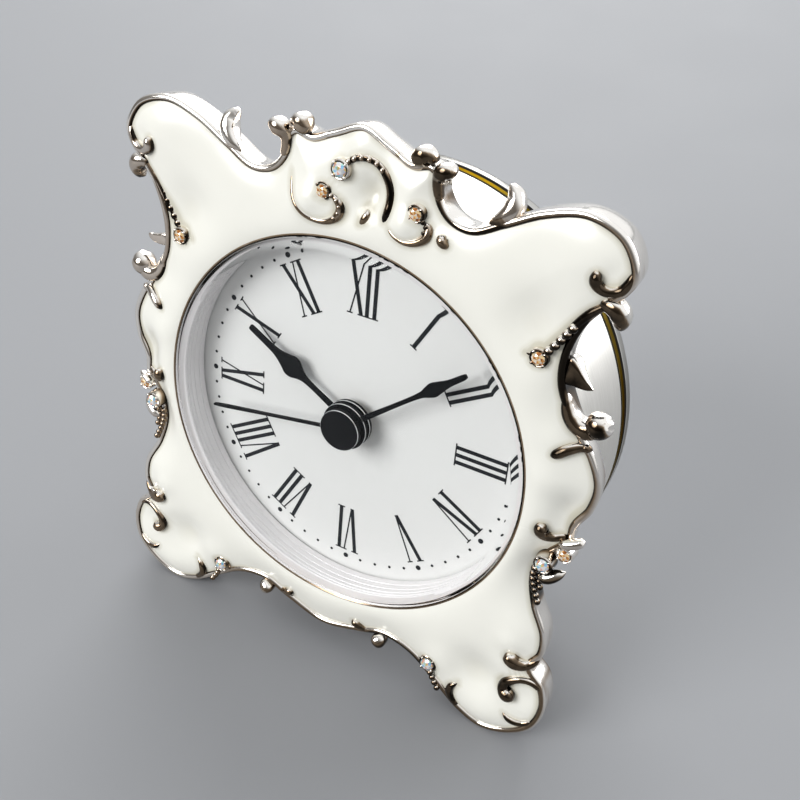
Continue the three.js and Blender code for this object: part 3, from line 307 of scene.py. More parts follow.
def mesh_of(points, faces):
    mesh = bpy.data.meshes.new("work")
    mesh.from_pydata([tuple(p) for p in points], [], faces)
    return mesh


def points_of(mesh):
    return np.array([v.co for v in mesh.vertices])


def kept(work):
    """A plain mesh from a mesh in work."""
    mesh = bpy.data.meshes.new("work")
    work.to_mesh(mesh)
    work.free()
    return mesh


def joined(meshes):
    """One mesh from several."""
    work = bmesh.new()
    for mesh in meshes:
        work.from_mesh(mesh)
    return kept(work)


def loft(rings, closed=False):
    """Faces over rings of equally many points. Closed joins the last ring to the first."""
    count = len(rings[0])
    faces = []
    for ring in range(len(rings) if closed else len(rings) - 1):
        here, there = ring * count, ((ring + 1) % len(rings)) * count
        for i in range(count):
            after = (i + 1) % count
            faces.append((here + i, here + after, there + after, there + i))
    return np.vstack(rings), faces


def full_turn(count, shift=0):
    return (np.arange(count) + shift) * 2 * pi / count


def on_circle(angles):
    return np.column_stack([np.cos(angles), np.sin(angles)])


def at_height(flat, z):
    return np.column_stack([flat, np.full(len(flat), z)])


def turned(profile, sides, middle=(0, 0)):
    """A profile of (radius, z) points turned about z; radius 0 at both ends closes it."""
    ring = on_circle(full_turn(sides))
    rings = [at_height(ring * radius + middle, z) for radius, z in profile if radius]
    points, faces = loft(rings, closed=profile[0][0] > 0)
    if profile[0][0] == 0:
        first, last = len(points), len(points) - sides
        points = np.vstack([points, [(*middle, profile[0][1]), (*middle, profile[-1][1])]])
        for i in range(sides):
            after = (i + 1) % sides
            faces += [(after, i, first), (last + i, last + after, first + 1)]
    return mesh_of(points, faces)


def band(inner, outer, low, high, sides):
    """A turned ring with a plain section."""
    return turned([(inner, low), (outer, low), (outer, high), (inner, high)], sides)


# %% [markdown]
# ## The outline of the frame
# The frame is symmetrical, so its outline is drawn once, from the crest down the right side, as
# listed points. A centripetal Catmull-Rom curve runs through them without overshooting at the tight
# notches. The sides of the real frame bend back between the corners.

# %% Smooth line and outline
HALF_OUTLINE = [
    (0, 38.3), (3.6, 36.9), (6.4, 35.8), (8.4, 36.1), (9.8, 35), (9.9, 33.1), (11.4, 31.2),
    (13.8, 30.7), (17.2, 32.4), (21.5, 34.7), (26, 35.8), (30.2, 34.3), (32.1, 30.8), (31.3, 28.6),
    (29.9, 27), (28, 24.4), (26.8, 20.5), (26.9, 16.8), (28.4, 13.5), (30.1, 11), (31.6, 9),
    (33, 5.5), (32.7, 2), (31.4, -0.8), (31.2, -3), (29.1, -5.9), (28.1, -9), (29, -13), (31, -17),
    (31.2, -20), (30.2, -22.3), (32, -24.3), (33, -27.5), (32.2, -31.2), (29.2, -34.2),
    (25.2, -35.6), (21.5, -34.5), (17.7, -31.8), (13.8, -29.2), (9.8, -28.5), (6, -29.9),
    (0, -31.5),
]
OPENING = 25.0
CAST_DEPTH = 4.0
SIDE_BEND = 1.6
CREST_BEND = 0.7
BEND_POWER = 1.3
OUTLINE_STEPS = 10


def blend(a, b, low, high, t):
    return a + (b - a) * (t - low) / (high - low)


def smooth_line(points, steps, closed=False):
    """A centripetal Catmull-Rom line; columns after x and y, such as a radius, go along."""
    p = np.asarray(points, float)
    ends = (p[-1:], p[:2]) if closed else (2 * p[:1] - p[1:2], 2 * p[-1:] - p[-2:-1])
    p = np.vstack([ends[0], p, ends[1]])
    line = []
    for a, b, c, d in zip(p, p[1:], p[2:], p[3:]):
        gaps = [max(np.linalg.norm((v - u)[:2]), 1e-6) ** 0.5 for u, v in ((a, b), (b, c), (c, d))]
        k0, k1, k2, k3 = np.cumsum([0] + gaps)
        for t in np.linspace(k1, k2, steps, endpoint=False):
            ab, bc, cd = blend(a, b, k0, k1, t), blend(b, c, k1, k2, t), blend(c, d, k2, k3, t)
            left, right = blend(ab, bc, k0, k2, t), blend(bc, cd, k1, k3, t)
            line.append(blend(left, right, k1, k2, t))
    return np.array(line if closed else line + [p[-2]])


def smoothstep(low, high, value):
    share = np.clip((value - low) / (high - low), 0, 1)
    return share * share * (3 - 2 * share)


def mirrored(points):
    return [(-p[0], *p[1:]) for p in points]


closed_outline = HALF_OUTLINE + mirrored(HALF_OUTLINE[1:-1])[::-1]
edge = smooth_line(closed_outline, OUTLINE_STEPS, closed=True)
along = np.roll(edge, -1, 0) - np.roll(edge, 1, 0)
along /= np.linalg.norm(along, axis=1)[:, None]
inwards = np.column_stack([along[:, 1], -along[:, 0]])
bearing = np.arctan2(edge[:, 1], edge[:, 0])
sideways = np.clip(np.cos(2 * bearing), 0, 1) ** BEND_POWER
endways = np.clip(-np.cos(2 * bearing), 0, 1) ** BEND_POWER
edge_z = -SIDE_BEND * sideways - CREST_BEND * endways
print(len(edge), "points on the outline")


def inset(distance, height):
    """The outline moved inwards, at a height below the front edge that is measured along it."""
    return np.column_stack([edge + inwards * distance, edge_z + height])


def circle(radius, z):
    """The point of a circle at the bearing of each outline point."""
    return at_height(radius * on_circle(bearing), z)


# %% [markdown]
# ## The casting
# The casting is one closed skin: the front floor under the enamel, the bright outer wall that draws
# in towards the flat back, the wall of the opening and the thin lip round it. Each ring of the loft
# has a point for every point of the outline, so the rings join without any cutting. The feet are
# filed flat.

# %% Casting
LIP_TOP = -0.18
FLOOR_DEPTH = 1.9
WALL_TOP, WALL_TAPER, TAPER_POWER = -0.54, 0.28, 3
WALL_SHARES = (0.35, 0.6, 0.8, 0.92, 1.0)
# The seat of the enamel, from the floor to the wall: distance inside the outline, height
SEAT = [(0.7, -FLOOR_DEPTH), (0.30, WALL_TOP + 0.04), (-0.03, WALL_TOP)]
# The opening and its lip, from the back: distance beyond the opening, z
LIP = [(0, -CAST_DEPTH), (0, LIP_TOP - 0.1), (0.1, LIP_TOP), (0.22, LIP_TOP), (0.30, LIP_TOP - 0.1),
       (0.45, -FLOOR_DEPTH)]
wall = []
for share in WALL_SHARES:
    down = WALL_TOP + (-CAST_DEPTH - edge_z - WALL_TOP) * share
    wall.append(inset(WALL_TAPER * share ** TAPER_POWER, down))
rings = [inset(*row) for row in SEAT] + wall + [circle(OPENING + beyond, z) for beyond, z in LIP]
points, faces = loft(rings, closed=True)
casting_mesh = mesh_of(on_floor(points), faces)
print("casting", len(faces), "faces")

# %% [markdown]
# ## The enamel
# The enamel fills the field like a soft cushion: it rises from the lip and from the bright edge,
# follows the bend of the sides, and has broad dips and mounds where the scrolls press into it.
# It is a grid between the lip and the edge, so its height is a plain sum of these effects.

# %% Enamel field
ROWS = 34
CUSHION = 0.55
EDGE_SINK = 0.42
LIP_SINK = 0.05
EASE = 1.6
ENAMEL_INNER, ENAMEL_INSET = OPENING + 0.27, 0.5
RAY_TOP, NEAR_TOP = 10, -0.5
# Mounds and dips of the enamel: x, y, spread, height; the paired ones are on both sides
PAIRED_MOUNDS = [
    (22.7, 22.8, 2.5, -1.1), (27, 32.4, 2.6, 0.45), (29.7, 30.3, 0.9, -0.35), (24.6, 16.4, 2, 0.4),
    (30.4, 1.3, 1.5, -1.05), (28, 0.2, 1.4, 0.3), (27.8, 10.6, 1.4, 0.55), (27, 5.2, 1.6, 0.35),
    (23.4, -26.8, 2.4, -1.2), (28.2, -16.5, 2.2, 0.55), (30.2, -26.7, 1.3, -0.45),
    (27.2, -23.3, 1.3, 0.35), (25.6, -33, 2.4, 0.5), (18.3, -27.6, 1.6, 0.4),
    (27, -19.8, 1.2, 0.45), (14.5, 29.5, 2.4, 0.3),
]
CREST_MOUNDS = [
    (-5.9, 28.7, 1.5, 1), (6.5, 29.2, 1.3, 1.15), (1.9, 31.2, 1.5, -1.6), (-5.8, 33, 1.8, 0.45),
    (6.4, 33.6, 1.6, 0.6), (0.2, 36.6, 1.4, 0.45), (11.2, 28.6, 0.9, 0.35), (-0.6, 28, 1.2, -0.5),
]
MOUNDS = PAIRED_MOUNDS + mirrored(PAIRED_MOUNDS) + CREST_MOUNDS

outer = edge + inwards * ENAMEL_INSET
inner = circle(ENAMEL_INNER, 0)[:, :2]


def bell(at, x, y, spread):
    """A soft bell about x and y: 1 in its middle, 0 far away."""
    away = (at[:, 0] - x) ** 2 + (at[:, 1] - y) ** 2
    return np.exp(-away / (2 * spread * spread))


def enamel_rise(at):
    """Height of the enamel at points of the board, by their distance to the lip and to the edge."""
    from_lip = np.linalg.norm(at, axis=1) - ENAMEL_INNER
    from_edge = np.min(np.linalg.norm(at[:, None, :] - outer[None, :, :], axis=2), axis=1)
    share = smoothstep(0, 1, from_lip / np.maximum(from_lip + from_edge, 1e-6))
    height = (LIP_TOP - LIP_SINK) * (1 - share) + (edge_z - EDGE_SINK) * share
    rise = (1 - np.exp(-from_edge / EASE)) * (1 - np.exp(-from_lip / EASE))
    height = height + CUSHION * rise
    for x, y, spread, lift in MOUNDS:
        height = height + lift * rise * bell(at, x, y, spread)
    return height


rings = []
for share in 0.5 - 0.5 * np.cos(pi * np.linspace(0, 1, ROWS)):
    at = inner + (outer - inner) * share
    rings.append(np.column_stack([at, enamel_rise(at)]))
under = [np.column_stack([outer, edge_z - FLOOR_DEPTH]), circle(ENAMEL_INNER, -FLOOR_DEPTH)]
points, faces = loft(rings + under, closed=True)
enamel_points = on_floor(points)
enamel_mesh = mesh_of(enamel_points, faces)
enamel_top = BVHTree.FromPolygons([Vector(p) for p in enamel_points], faces)
print("enamel", len(faces), "faces")


def enamel_height(x, y):
    """Height of the enamel where a ray from above meets it, or of its nearest point."""
    hit = enamel_top.ray_cast(Vector((x, y, RAY_TOP)), Vector((0, 0, -1)))[0]
    return hit.z if hit else enamel_top.find_nearest(Vector((x, y, NEAR_TOP)))[0].z


# %% [markdown]
# ## Bright edge and scrolls
# The bright edge is a bar that follows the outline, and the scrolls are bars that taper along a
# curl. Both follow a path, so one Geometry Nodes tree makes them: it sweeps a profile with eased
# corners along a curve whose points carry the radius. The scrolls stand on the enamel, at the
# height where a ray from above meets it.

# %% Trees for bars and bead chains
GEOMETRY, MATERIAL = ("Geometry", "NodeSocketGeometry"), ("Material", "NodeSocketMaterial")


def shape_tree(name, *inputs):
    """A tree that takes and gives geometry, with a material and inputs of its own."""
    return new_tree("GeometryNodeTree", name, [(*GEOMETRY, None), *inputs, (*MATERIAL, None)],
                    [GEOMETRY])


def close_tree(tree, group_in, group_out, geometry):
    """Every tree ends the same way: real geometry with its material."""
    real = tree.nodes.new("GeometryNodeRealizeInstances")
    painted = tree.nodes.new("GeometryNodeSetMaterial")
    tree.links.new(geometry, real.inputs["Geometry"])
    wire(tree, (real, "Geometry", painted, "Geometry"), (group_in, "Material", painted, "Material"),
         (painted, "Geometry", group_out, "Geometry"))


bar_tree, g_in, g_out = shape_tree("swept bar", ("Depth", FLOAT, 1.0), ("Corner", FLOAT, 1.0))
twice = node(bar_tree, "ShaderNodeMath", {"operation": "MULTIPLY"})
twice.inputs[1].default_value = 2
bar_profile = node(bar_tree, "GeometryNodeCurvePrimitiveQuadrilateral", Width=2.0)
eased = node(bar_tree, "GeometryNodeFilletCurve", {"mode": "POLY"}, Count=6, Limit_Radius=True)
width = node(bar_tree, "GeometryNodeInputRadius")
sweep = node(bar_tree, "GeometryNodeCurveToMesh", Fill_Caps=True)
wire(bar_tree, (g_in, "Geometry", sweep, "Curve"), (g_in, "Depth", twice, 0),
     (twice, "Value", bar_profile, "Height"), (bar_profile, "Curve", eased, "Curve"),
     (g_in, "Corner", eased, "Radius"), (eased, "Curve", sweep, "Profile Curve"),
     (width, "Radius", sweep, "Scale"))
close_tree(bar_tree, g_in, g_out, sweep.outputs["Mesh"])

chain_tree, g_in, g_out = shape_tree("bead chain", ("Spacing", FLOAT, 0.8), ("Bead", FLOAT, 0.4))
spaced = node(chain_tree, "GeometryNodeResampleCurve", {"mode": "LENGTH"})
bead = node(chain_tree, "GeometryNodeMeshIcoSphere", Subdivisions=3)
strung = node(chain_tree, "GeometryNodeInstanceOnPoints")
wire(chain_tree, (g_in, "Geometry", spaced, "Curve"), (g_in, "Spacing", spaced, "Length"),
     (g_in, "Bead", bead, "Radius"), (spaced, "Curve", strung, "Points"),
     (bead, "Mesh", strung, "Instance"))
close_tree(chain_tree, g_in, g_out, strung.outputs["Instances"])
print("trees:", bar_tree.name, "and", chain_tree.name)


# %% Run a tree and keep its mesh
def run_tree(source, tree, **inputs):
    """The plain mesh that a Geometry Nodes tree makes from a curve or a mesh."""
    holder = placed("holder", source)
    modifier = holder.modifiers.new("tree", "NODES")
    modifier.node_group = tree
    names = {s.name: s.identifier for s in tree.interface.items_tree if s.in_out == "INPUT"}
    for key, value in inputs.items():
        modifier[names[key.replace("_", " ")]] = value
    evaluated = holder.evaluated_get(bpy.context.evaluated_depsgraph_get())
    made = bpy.data.meshes.new_from_object(evaluated)
    holder.modifiers.remove(modifier)
    bpy.data.objects.remove(holder)
    return made


def curve_of(lines, closed=False):
    """A curve with one poly line for each row list of x, y, z, radius."""
    curve = bpy.data.curves.new("path", "CURVE")
    curve.dimensions = "3D"
    curve.twist_mode = "Z_UP"
    for line in lines:
        spline = curve.splines.new("POLY")
        spline.points.add(len(line) - 1)
        for point, (x, y, z, radius) in zip(spline.points, line):
            point.co = (x, y, z, 1)
            point.radius = radius
        spline.use_cyclic_u = closed
    return curve


# %% [markdown]
# The scrolls are drawn piece by piece: each row is x, y and the bar's radius, and a radius that
# swells at the end makes the rolled bulb of a scroll. Horns and hooks leave the casting's edge, so
# they carry a height of their own.

# %% Scroll drawings
# Scrolls that lie on the enamel, on both sides: x, y, radius
PAIRED_SCROLLS = [
    [(31.5, 31.2, 0.3), (31.2, 29.9, 0.5), (30.6, 28.95, 0.56), (29.6, 28.6, 0.58),
     (28.7, 28.8, 0.62), (28.15, 29.4, 0.7), (28.2, 30, 0.66), (28.5, 30.3, 0.4)],
    [(29.9, 27.3, 0.35), (28.3, 25.9, 0.5), (27.1, 24.3, 0.5), (26.2, 22.7, 0.44),
     (25.3, 21.3, 0.4), (24.5, 20.2, 0.4), (23.5, 19.3, 0.36), (22.1, 19.2, 0.08)],
    [(31.2, 9.8, 0.46), (30, 9.9, 0.6), (28.7, 9.3, 0.66), (27.8, 8.6, 0.6), (27.1, 8.1, 0.34)],
    [(30.5, -2.2, 0.3), (30, -2.5, 0.46), (29.2, -2.8, 0.55), (28.2, -2.5, 0.72),
     (27.8, -1.7, 0.86), (28.2, -1.1, 0.55)],
    [(30.9, -20.6, 0.3), (30.2, -21.6, 0.55), (29.3, -22.1, 0.78), (28.3, -22, 0.95),
     (27.4, -21.4, 0.9), (26.9, -21, 0.45)],
    [(32.2, -25.2, 0.45), (31, -24.5, 0.46), (29.7, -24.4, 0.48), (28.5, -24.9, 0.55),
     (27.6, -25.8, 0.68), (27.5, -26.8, 0.85), (28.2, -27.4, 1.05), (29, -27.1, 0.65)],
    [(31.8, -30.6, 0.3), (30.8, -31.3, 0.42), (29.7, -31.5, 0.48), (28.8, -31.3, 0.42),
     (28, -30.7, 0.14)],
    [(22, -34.3, 0.3), (20.9, -33.3, 0.46), (20.3, -32.1, 0.55), (20.5, -30.9, 0.46),
     (21.3, -30, 0.1)],
    [(7.2, -29.3, 0.35), (6.2, -28.9, 0.5), (5.4, -28.5, 0.6), (4.8, -28.2, 0.35)],
    [(3.6, 36.6, 0.36), (5, 35.8, 0.42), (6.2, 35.4, 0.46), (7.1, 35.6, 0.52), (7.6, 36.2, 0.4)],
]
# Scrolls that are slimmer on the left: number of the row, share of the radius
SLIM_ON_LEFT = {1: 0.62, 5: 0.78}
# Scrolls of the crest, which differ from side to side
CREST_SCROLLS = [
    [(-8.4, 31.4, 0.1), (-8.1, 29.8, 0.24), (-7.3, 28.1, 0.3), (-5.9, 27, 0.32), (-4.3, 26.7, 0.34),
     (-2.9, 27, 0.42), (-1.9, 27.8, 0.52), (-1.7, 28.9, 0.52), (-2.3, 29.7, 0.4), (-3, 30.1, 0.25)],
    [(-1.3, 33.9, 0.34), (-0.2, 34.7, 0.42), (1, 34.9, 0.42), (2.2, 34.6, 0.44), (3.3, 33.7, 0.5),
     (4.1, 32.4, 0.54), (4.3, 31, 0.54), (4.2, 29.7, 0.5), (3.8, 28.6, 0.3)],
    [(0.8, 27.5, 0.1), (1.3, 28.1, 0.4), (1.6, 28.8, 0.42), (1.5, 29.4, 0.15)],
    [(4.5, 28.4, 0.16), (5.4, 27.7, 0.28), (6.7, 27.3, 0.34), (8.1, 27.6, 0.46), (9.1, 28.4, 0.56),
     (9.2, 29.3, 0.5), (8.6, 30, 0.28)],
    [(11.9, 28.2, 0.2), (11.4, 28.3, 0.55), (11, 28.7, 0.65), (11.2, 29.2, 0.3)],
]
# Horns and hooks that leave the edge, on both sides: x, y, z, radius
PAIRED_HORNS = [
    [(28.8, 26.6, -0.9, 0.5), (29.7, 27, -0.8, 0.85), (30.6, 26.8, -0.9, 1.05), (31.1, 26, -1.2, 1),
     (31, 25.1, -1.5, 0.75), (30.6, 24.6, -1.7, 0.3)],
    [(27.2, 15.7, -1.3, 0.3), (27.45, 14.3, -1.6, 0.72), (28.05, 13, -1.8, 0.95),
     (29, 12.2, -1.9, 1.08), (30.1, 12, -1.9, 1.14), (31, 12.5, -1.85, 1.05)],
    [(28.4, -9, -1, 0.5), (29.6, -8.6, -1.4, 0.74), (30.6, -7.9, -1.6, 0.6),
     (31.4, -7.2, -1.8, 0.18)],
    [(9.9, 32.4, -0.9, 0.45), (9.5, 33.6, -0.9, 0.55), (9.5, 34.8, -0.8, 0.68),
     (10, 35.6, -0.6, 0.98), (10.7, 35.8, -0.6, 0.95), (11.1, 35.3, -0.8, 0.45)],
    [(15.6, 31.6, -0.9, 0.4), (17, 32.5, -1.2, 0.85), (17.8, 33.6, -1.6, 1.05),
     (17.8, 34.7, -1.9, 0.92), (17.2, 35.5, -2, 0.55), (16.7, 35.8, -2, 0.2)],
    [(6.4, 35.9, -0.9, 0.55), (7, 36.4, -0.8, 0.95), (7.6, 36.8, -0.9, 1.1), (8.3, 36.6, -1, 0.8),
     (8.6, 36, -1, 0.4)],
    [(9.6, -28.3, -0.9, 0.3), (9.4, -29, -0.8, 0.85), (9, -29.7, -0.8, 1),
     (8.6, -30.3, -0.9, 0.45)],
]
# Round bulbs at the ends of the side horns, on both sides
PAIRED_BULBS = [
    [(30, 11.75, -1.85, 0.4), (30.3, 12, -1.85, 1.02), (30.75, 12.4, -1.85, 1.42),
     (31.25, 12.9, -1.82, 1.58), (31.75, 13.35, -1.8, 1.42), (32.1, 13.7, -1.8, 1.04),
     (32.35, 13.9, -1.8, 0.55), (32.42, 14, -1.8, 0.15)],
]
# Prongs beside the side stones, one on each side
SIDE_PRONGS = [
    [(30, -3.2, -1, 0.5), (31.2, -2.8, -1.2, 0.62), (32.2, -2.3, -1.4, 0.56),
     (32.75, -1.8, -1.5, 0.42)],
    [(-29.7, -4.2, -0.9, 0.36), (-30.4, -3.9, -1.1, 0.46), (-31.2, -3.6, -1.3, 0.44),
     (-32.1, -3.3, -1.5, 0.26)],
]
# Thorns, one on each side: broad at the wall, with a slim point
THORNS = [
    [(26, 18.4, -2.2, 1.6), (26.8, 18.2, -1.9, 1.8), (27.5, 17.95, -1.6, 1.46),
     (28.2, 17.65, -1.4, 1.02), (29, 17.35, -1.2, 0.6), (29.95, 17.15, -1, 0.16)],
    [(-26.6, 17.4, -2, 0.6), (-27.5, 17.2, -1.9, 0.8), (-28.5, 17, -1.8, 0.7),
     (-29.5, 17, -1.7, 0.5), (-30.2, 17.3, -1.6, 0.22)],
]
# Bead chains on the scrolls: points, bead radius, spacing, rise of the right and of the left one
PAIRED_CHAINS = [
    ([(26.8, 23.7), (26.0, 22.4), (25.2, 21.1), (24.7, 20.4)], 0.54, 0.80, 0.5, -0.25),
    ([(17.3, -30.3), (17.8, -31.4), (18.5, -32.5)], 0.42, 0.74, 0.4, 0.4),
    ([(27.8, -7.9), (27.8, -9.2), (28.3, -10.8), (29.0, -12.4)], 0.44, 0.74, 0.4, 0.4),
    ([(28.7, -8.0), (28.6, -9.2), (28.9, -10.3)], 0.42, 0.72, 0.4, 0.4),
    ([(29.5, -8.2), (29.3, -9.2)], 0.38, 0.70, 0.4, 0.4),
]
CREST_CHAINS = [
    ([(-1.1, 34.1), (0.0, 34.8), (1.2, 34.9), (2.3, 34.6), (3.0, 34.1)], 0.35, 0.80),
    ([(-2.2, 27.5), (-1.7, 28.4), (-1.9, 29.4), (-2.7, 30.0)], 0.31, 0.66),
    ([(8.9, 28.9), (9.0, 29.5), (8.6, 30.0)], 0.29, 0.62),
]
print(len(PAIRED_SCROLLS), "scrolls on each side,", len(CREST_SCROLLS), "on the crest")

# %% Sweep the edge and the scrolls
EDGE_BAR, BAR_INSET = 0.46, 0.42
SCROLL_SINK, CREST_SINK = 0.12, 0.24
SCROLL_STAND = 0.35
CREST_RISE = 0.24
LINE_STEPS = 8
THINNEST = 0.03
ROUND_END = np.array([0.15, 0.6, 0.8, 0.92])


def round_ended(rows):
    """A smooth line through the rows whose last column, the radius, closes in at both ends."""
    line = smooth_line(rows, LINE_STEPS)
    line[:len(ROUND_END), -1] *= ROUND_END
    line[-len(ROUND_END):, -1] *= ROUND_END[::-1]
    line[:, -1] = np.maximum(line[:, -1], THINNEST)
    return line


def on_both_sides(drawings):
    return drawings + [mirrored(rows) for rows in drawings]


def on_enamel(rows, sink):
    """Rows of x, y, radius as a smooth line that stands on the enamel."""
    thickness = smooth_line(rows, LINE_STEPS)[:, 2]
    return [(x, y, enamel_height(x, y) + thick * SCROLL_STAND - sink, radius)
            for (x, y, radius), thick in zip(round_ended(rows), thickness)]


left_scrolls = [[(-x, y, radius * SLIM_ON_LEFT.get(number, 1)) for x, y, radius in rows]
                for number, rows in enumerate(PAIRED_SCROLLS)]
scroll_lines = [on_enamel(rows, SCROLL_SINK) for rows in PAIRED_SCROLLS + left_scrolls]
scroll_lines += [on_enamel(rows, CREST_SINK) for rows in CREST_SCROLLS]
horn_lines = [round_ended(rows) for rows in on_both_sides(PAIRED_HORNS) + SIDE_PRONGS]
bulb_lines = [round_ended(rows) for rows in on_both_sides(PAIRED_BULBS)]
thorn_lines = [round_ended(rows) for rows in THORNS]
bar_line = [(*place, EDGE_BAR) for place in inset(BAR_INSET, -EDGE_BAR)]
edge_mesh = run_tree(curve_of([bar_line], closed=True), bar_tree, Material=silver)
scroll_mesh = run_tree(curve_of(scroll_lines), bar_tree, Material=silver)
horn_mesh = joined([
    run_tree(curve_of(horn_lines), bar_tree, Depth=1.2, Corner=0.9, Material=silver),
    run_tree(curve_of(bulb_lines), bar_tree, Material=silver),
    run_tree(curve_of(thorn_lines), bar_tree, Depth=0.55, Corner=0.35, Material=silver)])
chain_meshes = []
chains = [(rows, size, space, rise) for rows, size, space, rise, _ in PAIRED_CHAINS]
chains += [(mirrored(rows), size, space, rise) for rows, size, space, _, rise in PAIRED_CHAINS]
for rows, radius, spacing, rise in chains + [(*chain, CREST_RISE) for chain in CREST_CHAINS]:
    line = [(x, y, enamel_height(x, y) + rise, 1) for x, y in smooth_line(rows, LINE_STEPS)]
    chain_meshes.append(run_tree(curve_of([line]), chain_tree, Spacing=spacing, Bead=radius,
                                 Material=silver))
print(len(scroll_lines), "scrolls,", len(horn_lines), "horns,", len(chain_meshes), "bead chains")

# %% [markdown]
# ## Stones and their cups
# The stones are small brilliant cuts: a table of eight facets, a crown, a thin girdle and a pointed
# pavilion. Flat shading keeps each facet a mirror of its own. A bright ring and four grains of
# metal hold each stone, as a setter would raise them from the casting.

# %% Stones
# Stones: x, y and z of the girdle, radius of the seat; the paired ones are on both sides
STONES = {
    "crest_stone_clear": (-1.9, 33.1, 0.2, 1.05), "crest_stone_amber_left": (-3.9, 30.2, 0.2, 0.9),
    "crest_stone_amber_right": (7.7, 30.7, 0.2, 0.9),
}
PAIRED_STONES = {
    "shoulder_stone": (23.8, 19.2, 0.1, 0.95), "side_stone_amber": (30.9, -4.5, -1.0, 0.9),
    "side_stone_clear": (28.9, -6.3, -0.1, 1.05), "foot_stone": (16.8, -28.9, 0.1, 1.1),
}
for name, (x, y, z, radius) in PAIRED_STONES.items():
    STONES[name + "_left"] = (-x, y, z, radius)
    STONES[name + "_right"] = (x, y, z, radius)
AMBER = ("amber", "shoulder")
# Colours that the facets take in turn: on the clear stones painted glints and sparkle, on the amber
# its own tint with painted glints and painted shade
CLEAR_STONE_GLINTS = [(1, 1, 1), (0.35, 0.70, 1), (1, 0.72, 0.25), (1, 1, 1), (0.55, 0.95, 0.80),
              (1, 0.55, 0.45), (0.85, 0.92, 1)]
AMBER_TINT_AND_GLINTS = [(1, 0.96, 0.86), (0.84, 0.38, 0.09), (1, 0.74, 0.38), (0.48, 0.17, 0.03),
              (1, 0.90, 0.66)]
STONE_SHARE = 0.84
# Rings of a stone, in shares of its radius: distance from the axis, height
TABLE, CROWN, GIRDLE_TOP, GIRDLE = (0.56, 0.46), (0.80, 0.32), (0.98, 0.10), (0.98, 0.0)
PAVILION_POINT, TABLE_MIDDLE = -0.62, 0.50
# Section of a cup: distance beyond its rim, height over the girdle
CUP = [(-0.10, -0.35), (-0.02, -0.02), (0.06, 0.02), (0.18, -0.10), (0.30, -1.6), (-0.10, -1.6)]
CUP_GAP, CUP_SIDES, GRAIN, GRAIN_RISE = 0.12, 32, 0.2, 0.06


def brilliant(radius):
    """Table, crown, girdle and pavilion of a stone, with the girdle at z = 0."""
    def ring(count, share, z, shift=0):
        return radius * at_height(share * on_circle(full_turn(count, shift)), z)
    ends = [(0, 0, PAVILION_POINT * radius), (0, 0, TABLE_MIDDLE * radius)]
    points = np.vstack([ring(8, *TABLE), ring(8, *CROWN, 0.5), ring(16, *GIRDLE_TOP),
                        ring(16, *GIRDLE), ends])
    # Points 0 to 7 are the table, 8 to 15 the crown, 16 to 47 the girdle, 48 and 49 the ends
    faces = []
    for i in range(8):
        j = (i + 1) % 8
        a, b = 16 + 2 * i, 16 + (2 * i + 1)
        c = 16 + (2 * i + 2) % 16
        before = 8 + (i - 1) % 8
        faces += [(49, i, j), (i, 8 + i, j), (i, before, a, 8 + i), (8 + i, a, b), (8 + i, b, c)]
    for i in range(16):
        j = (i + 1) % 16
        faces += [(16 + i, 32 + i, 32 + j, 16 + j), (32 + i, 48, 32 + j)]
    return points, faces


cup_meshes = []
for name, (x, y, z, radius) in STONES.items():
    radius *= STONE_SHARE
    points, faces = brilliant(radius)
    gem = mesh_of(points + (x, y, z), faces)
    if any(word in name for word in AMBER):
        material, slot, palette = amber_stone, "amber_stone", AMBER_TINT_AND_GLINTS
    else:
        material, slot, palette = clear_stone, "clear_stone", CLEAR_STONE_GLINTS
    # Each facet takes a colour of painted glint, sparkle or shade from the list in turn
    facet_glints_and_tint = [(*palette[(3 * face + face // 5) % len(palette)], 1) for face in range(len(faces))]
    gem.attributes.new("facet_glints_and_tint", "FLOAT_COLOR", "FACE").data.foreach_set("color", np.ravel(facet_glints_and_tint))
    piece(name + "_cut", gem, material, replaced=[name], crisp=1)
    highlight = radius + CUP_GAP
    cup_meshes.append(turned([(highlight + beyond, z + rise) for beyond, rise in CUP], CUP_SIDES, (x, y)))
    for a in pi / 4 + np.arange(4) * pi / 2:
        place = Matrix.Translation((x + highlight * cos(a), y + highlight * sin(a), z + GRAIN_RISE))
        grain = bmesh.new()
        bmesh.ops.create_icosphere(grain, subdivisions=2, radius=GRAIN, matrix=place)
        cup_meshes.append(kept(grain))
print(len(STONES), "stones")

# %% [markdown]
# ## Patina and painted shade
# The bright metal is made brown and dark where it meets the enamel, on undersides, on the fronts of
# ornaments and in the recesses of the outline. Beside the enamel and in the recesses that is partly
# the patina of old plating, where polishing doesn't reach, and partly painted shade; the rest is
# painted shade. The distance to the enamel, the normal and the depth of the outline behind its chord
# give that mask, stored on the mesh as an attribute. The enamel gets one too, as painted shade: a
# little darker along the metal and in its dips.

# %% Measure the metal
def store_patina_and_shade(mesh, values):
    mesh.attributes.new("patina_and_shade", "FLOAT", "POINT").data.foreach_set("value", values)


def gap_to(tree, mesh):
    return np.array([tree.find_nearest(vertex.co)[3] for vertex in mesh.vertices])


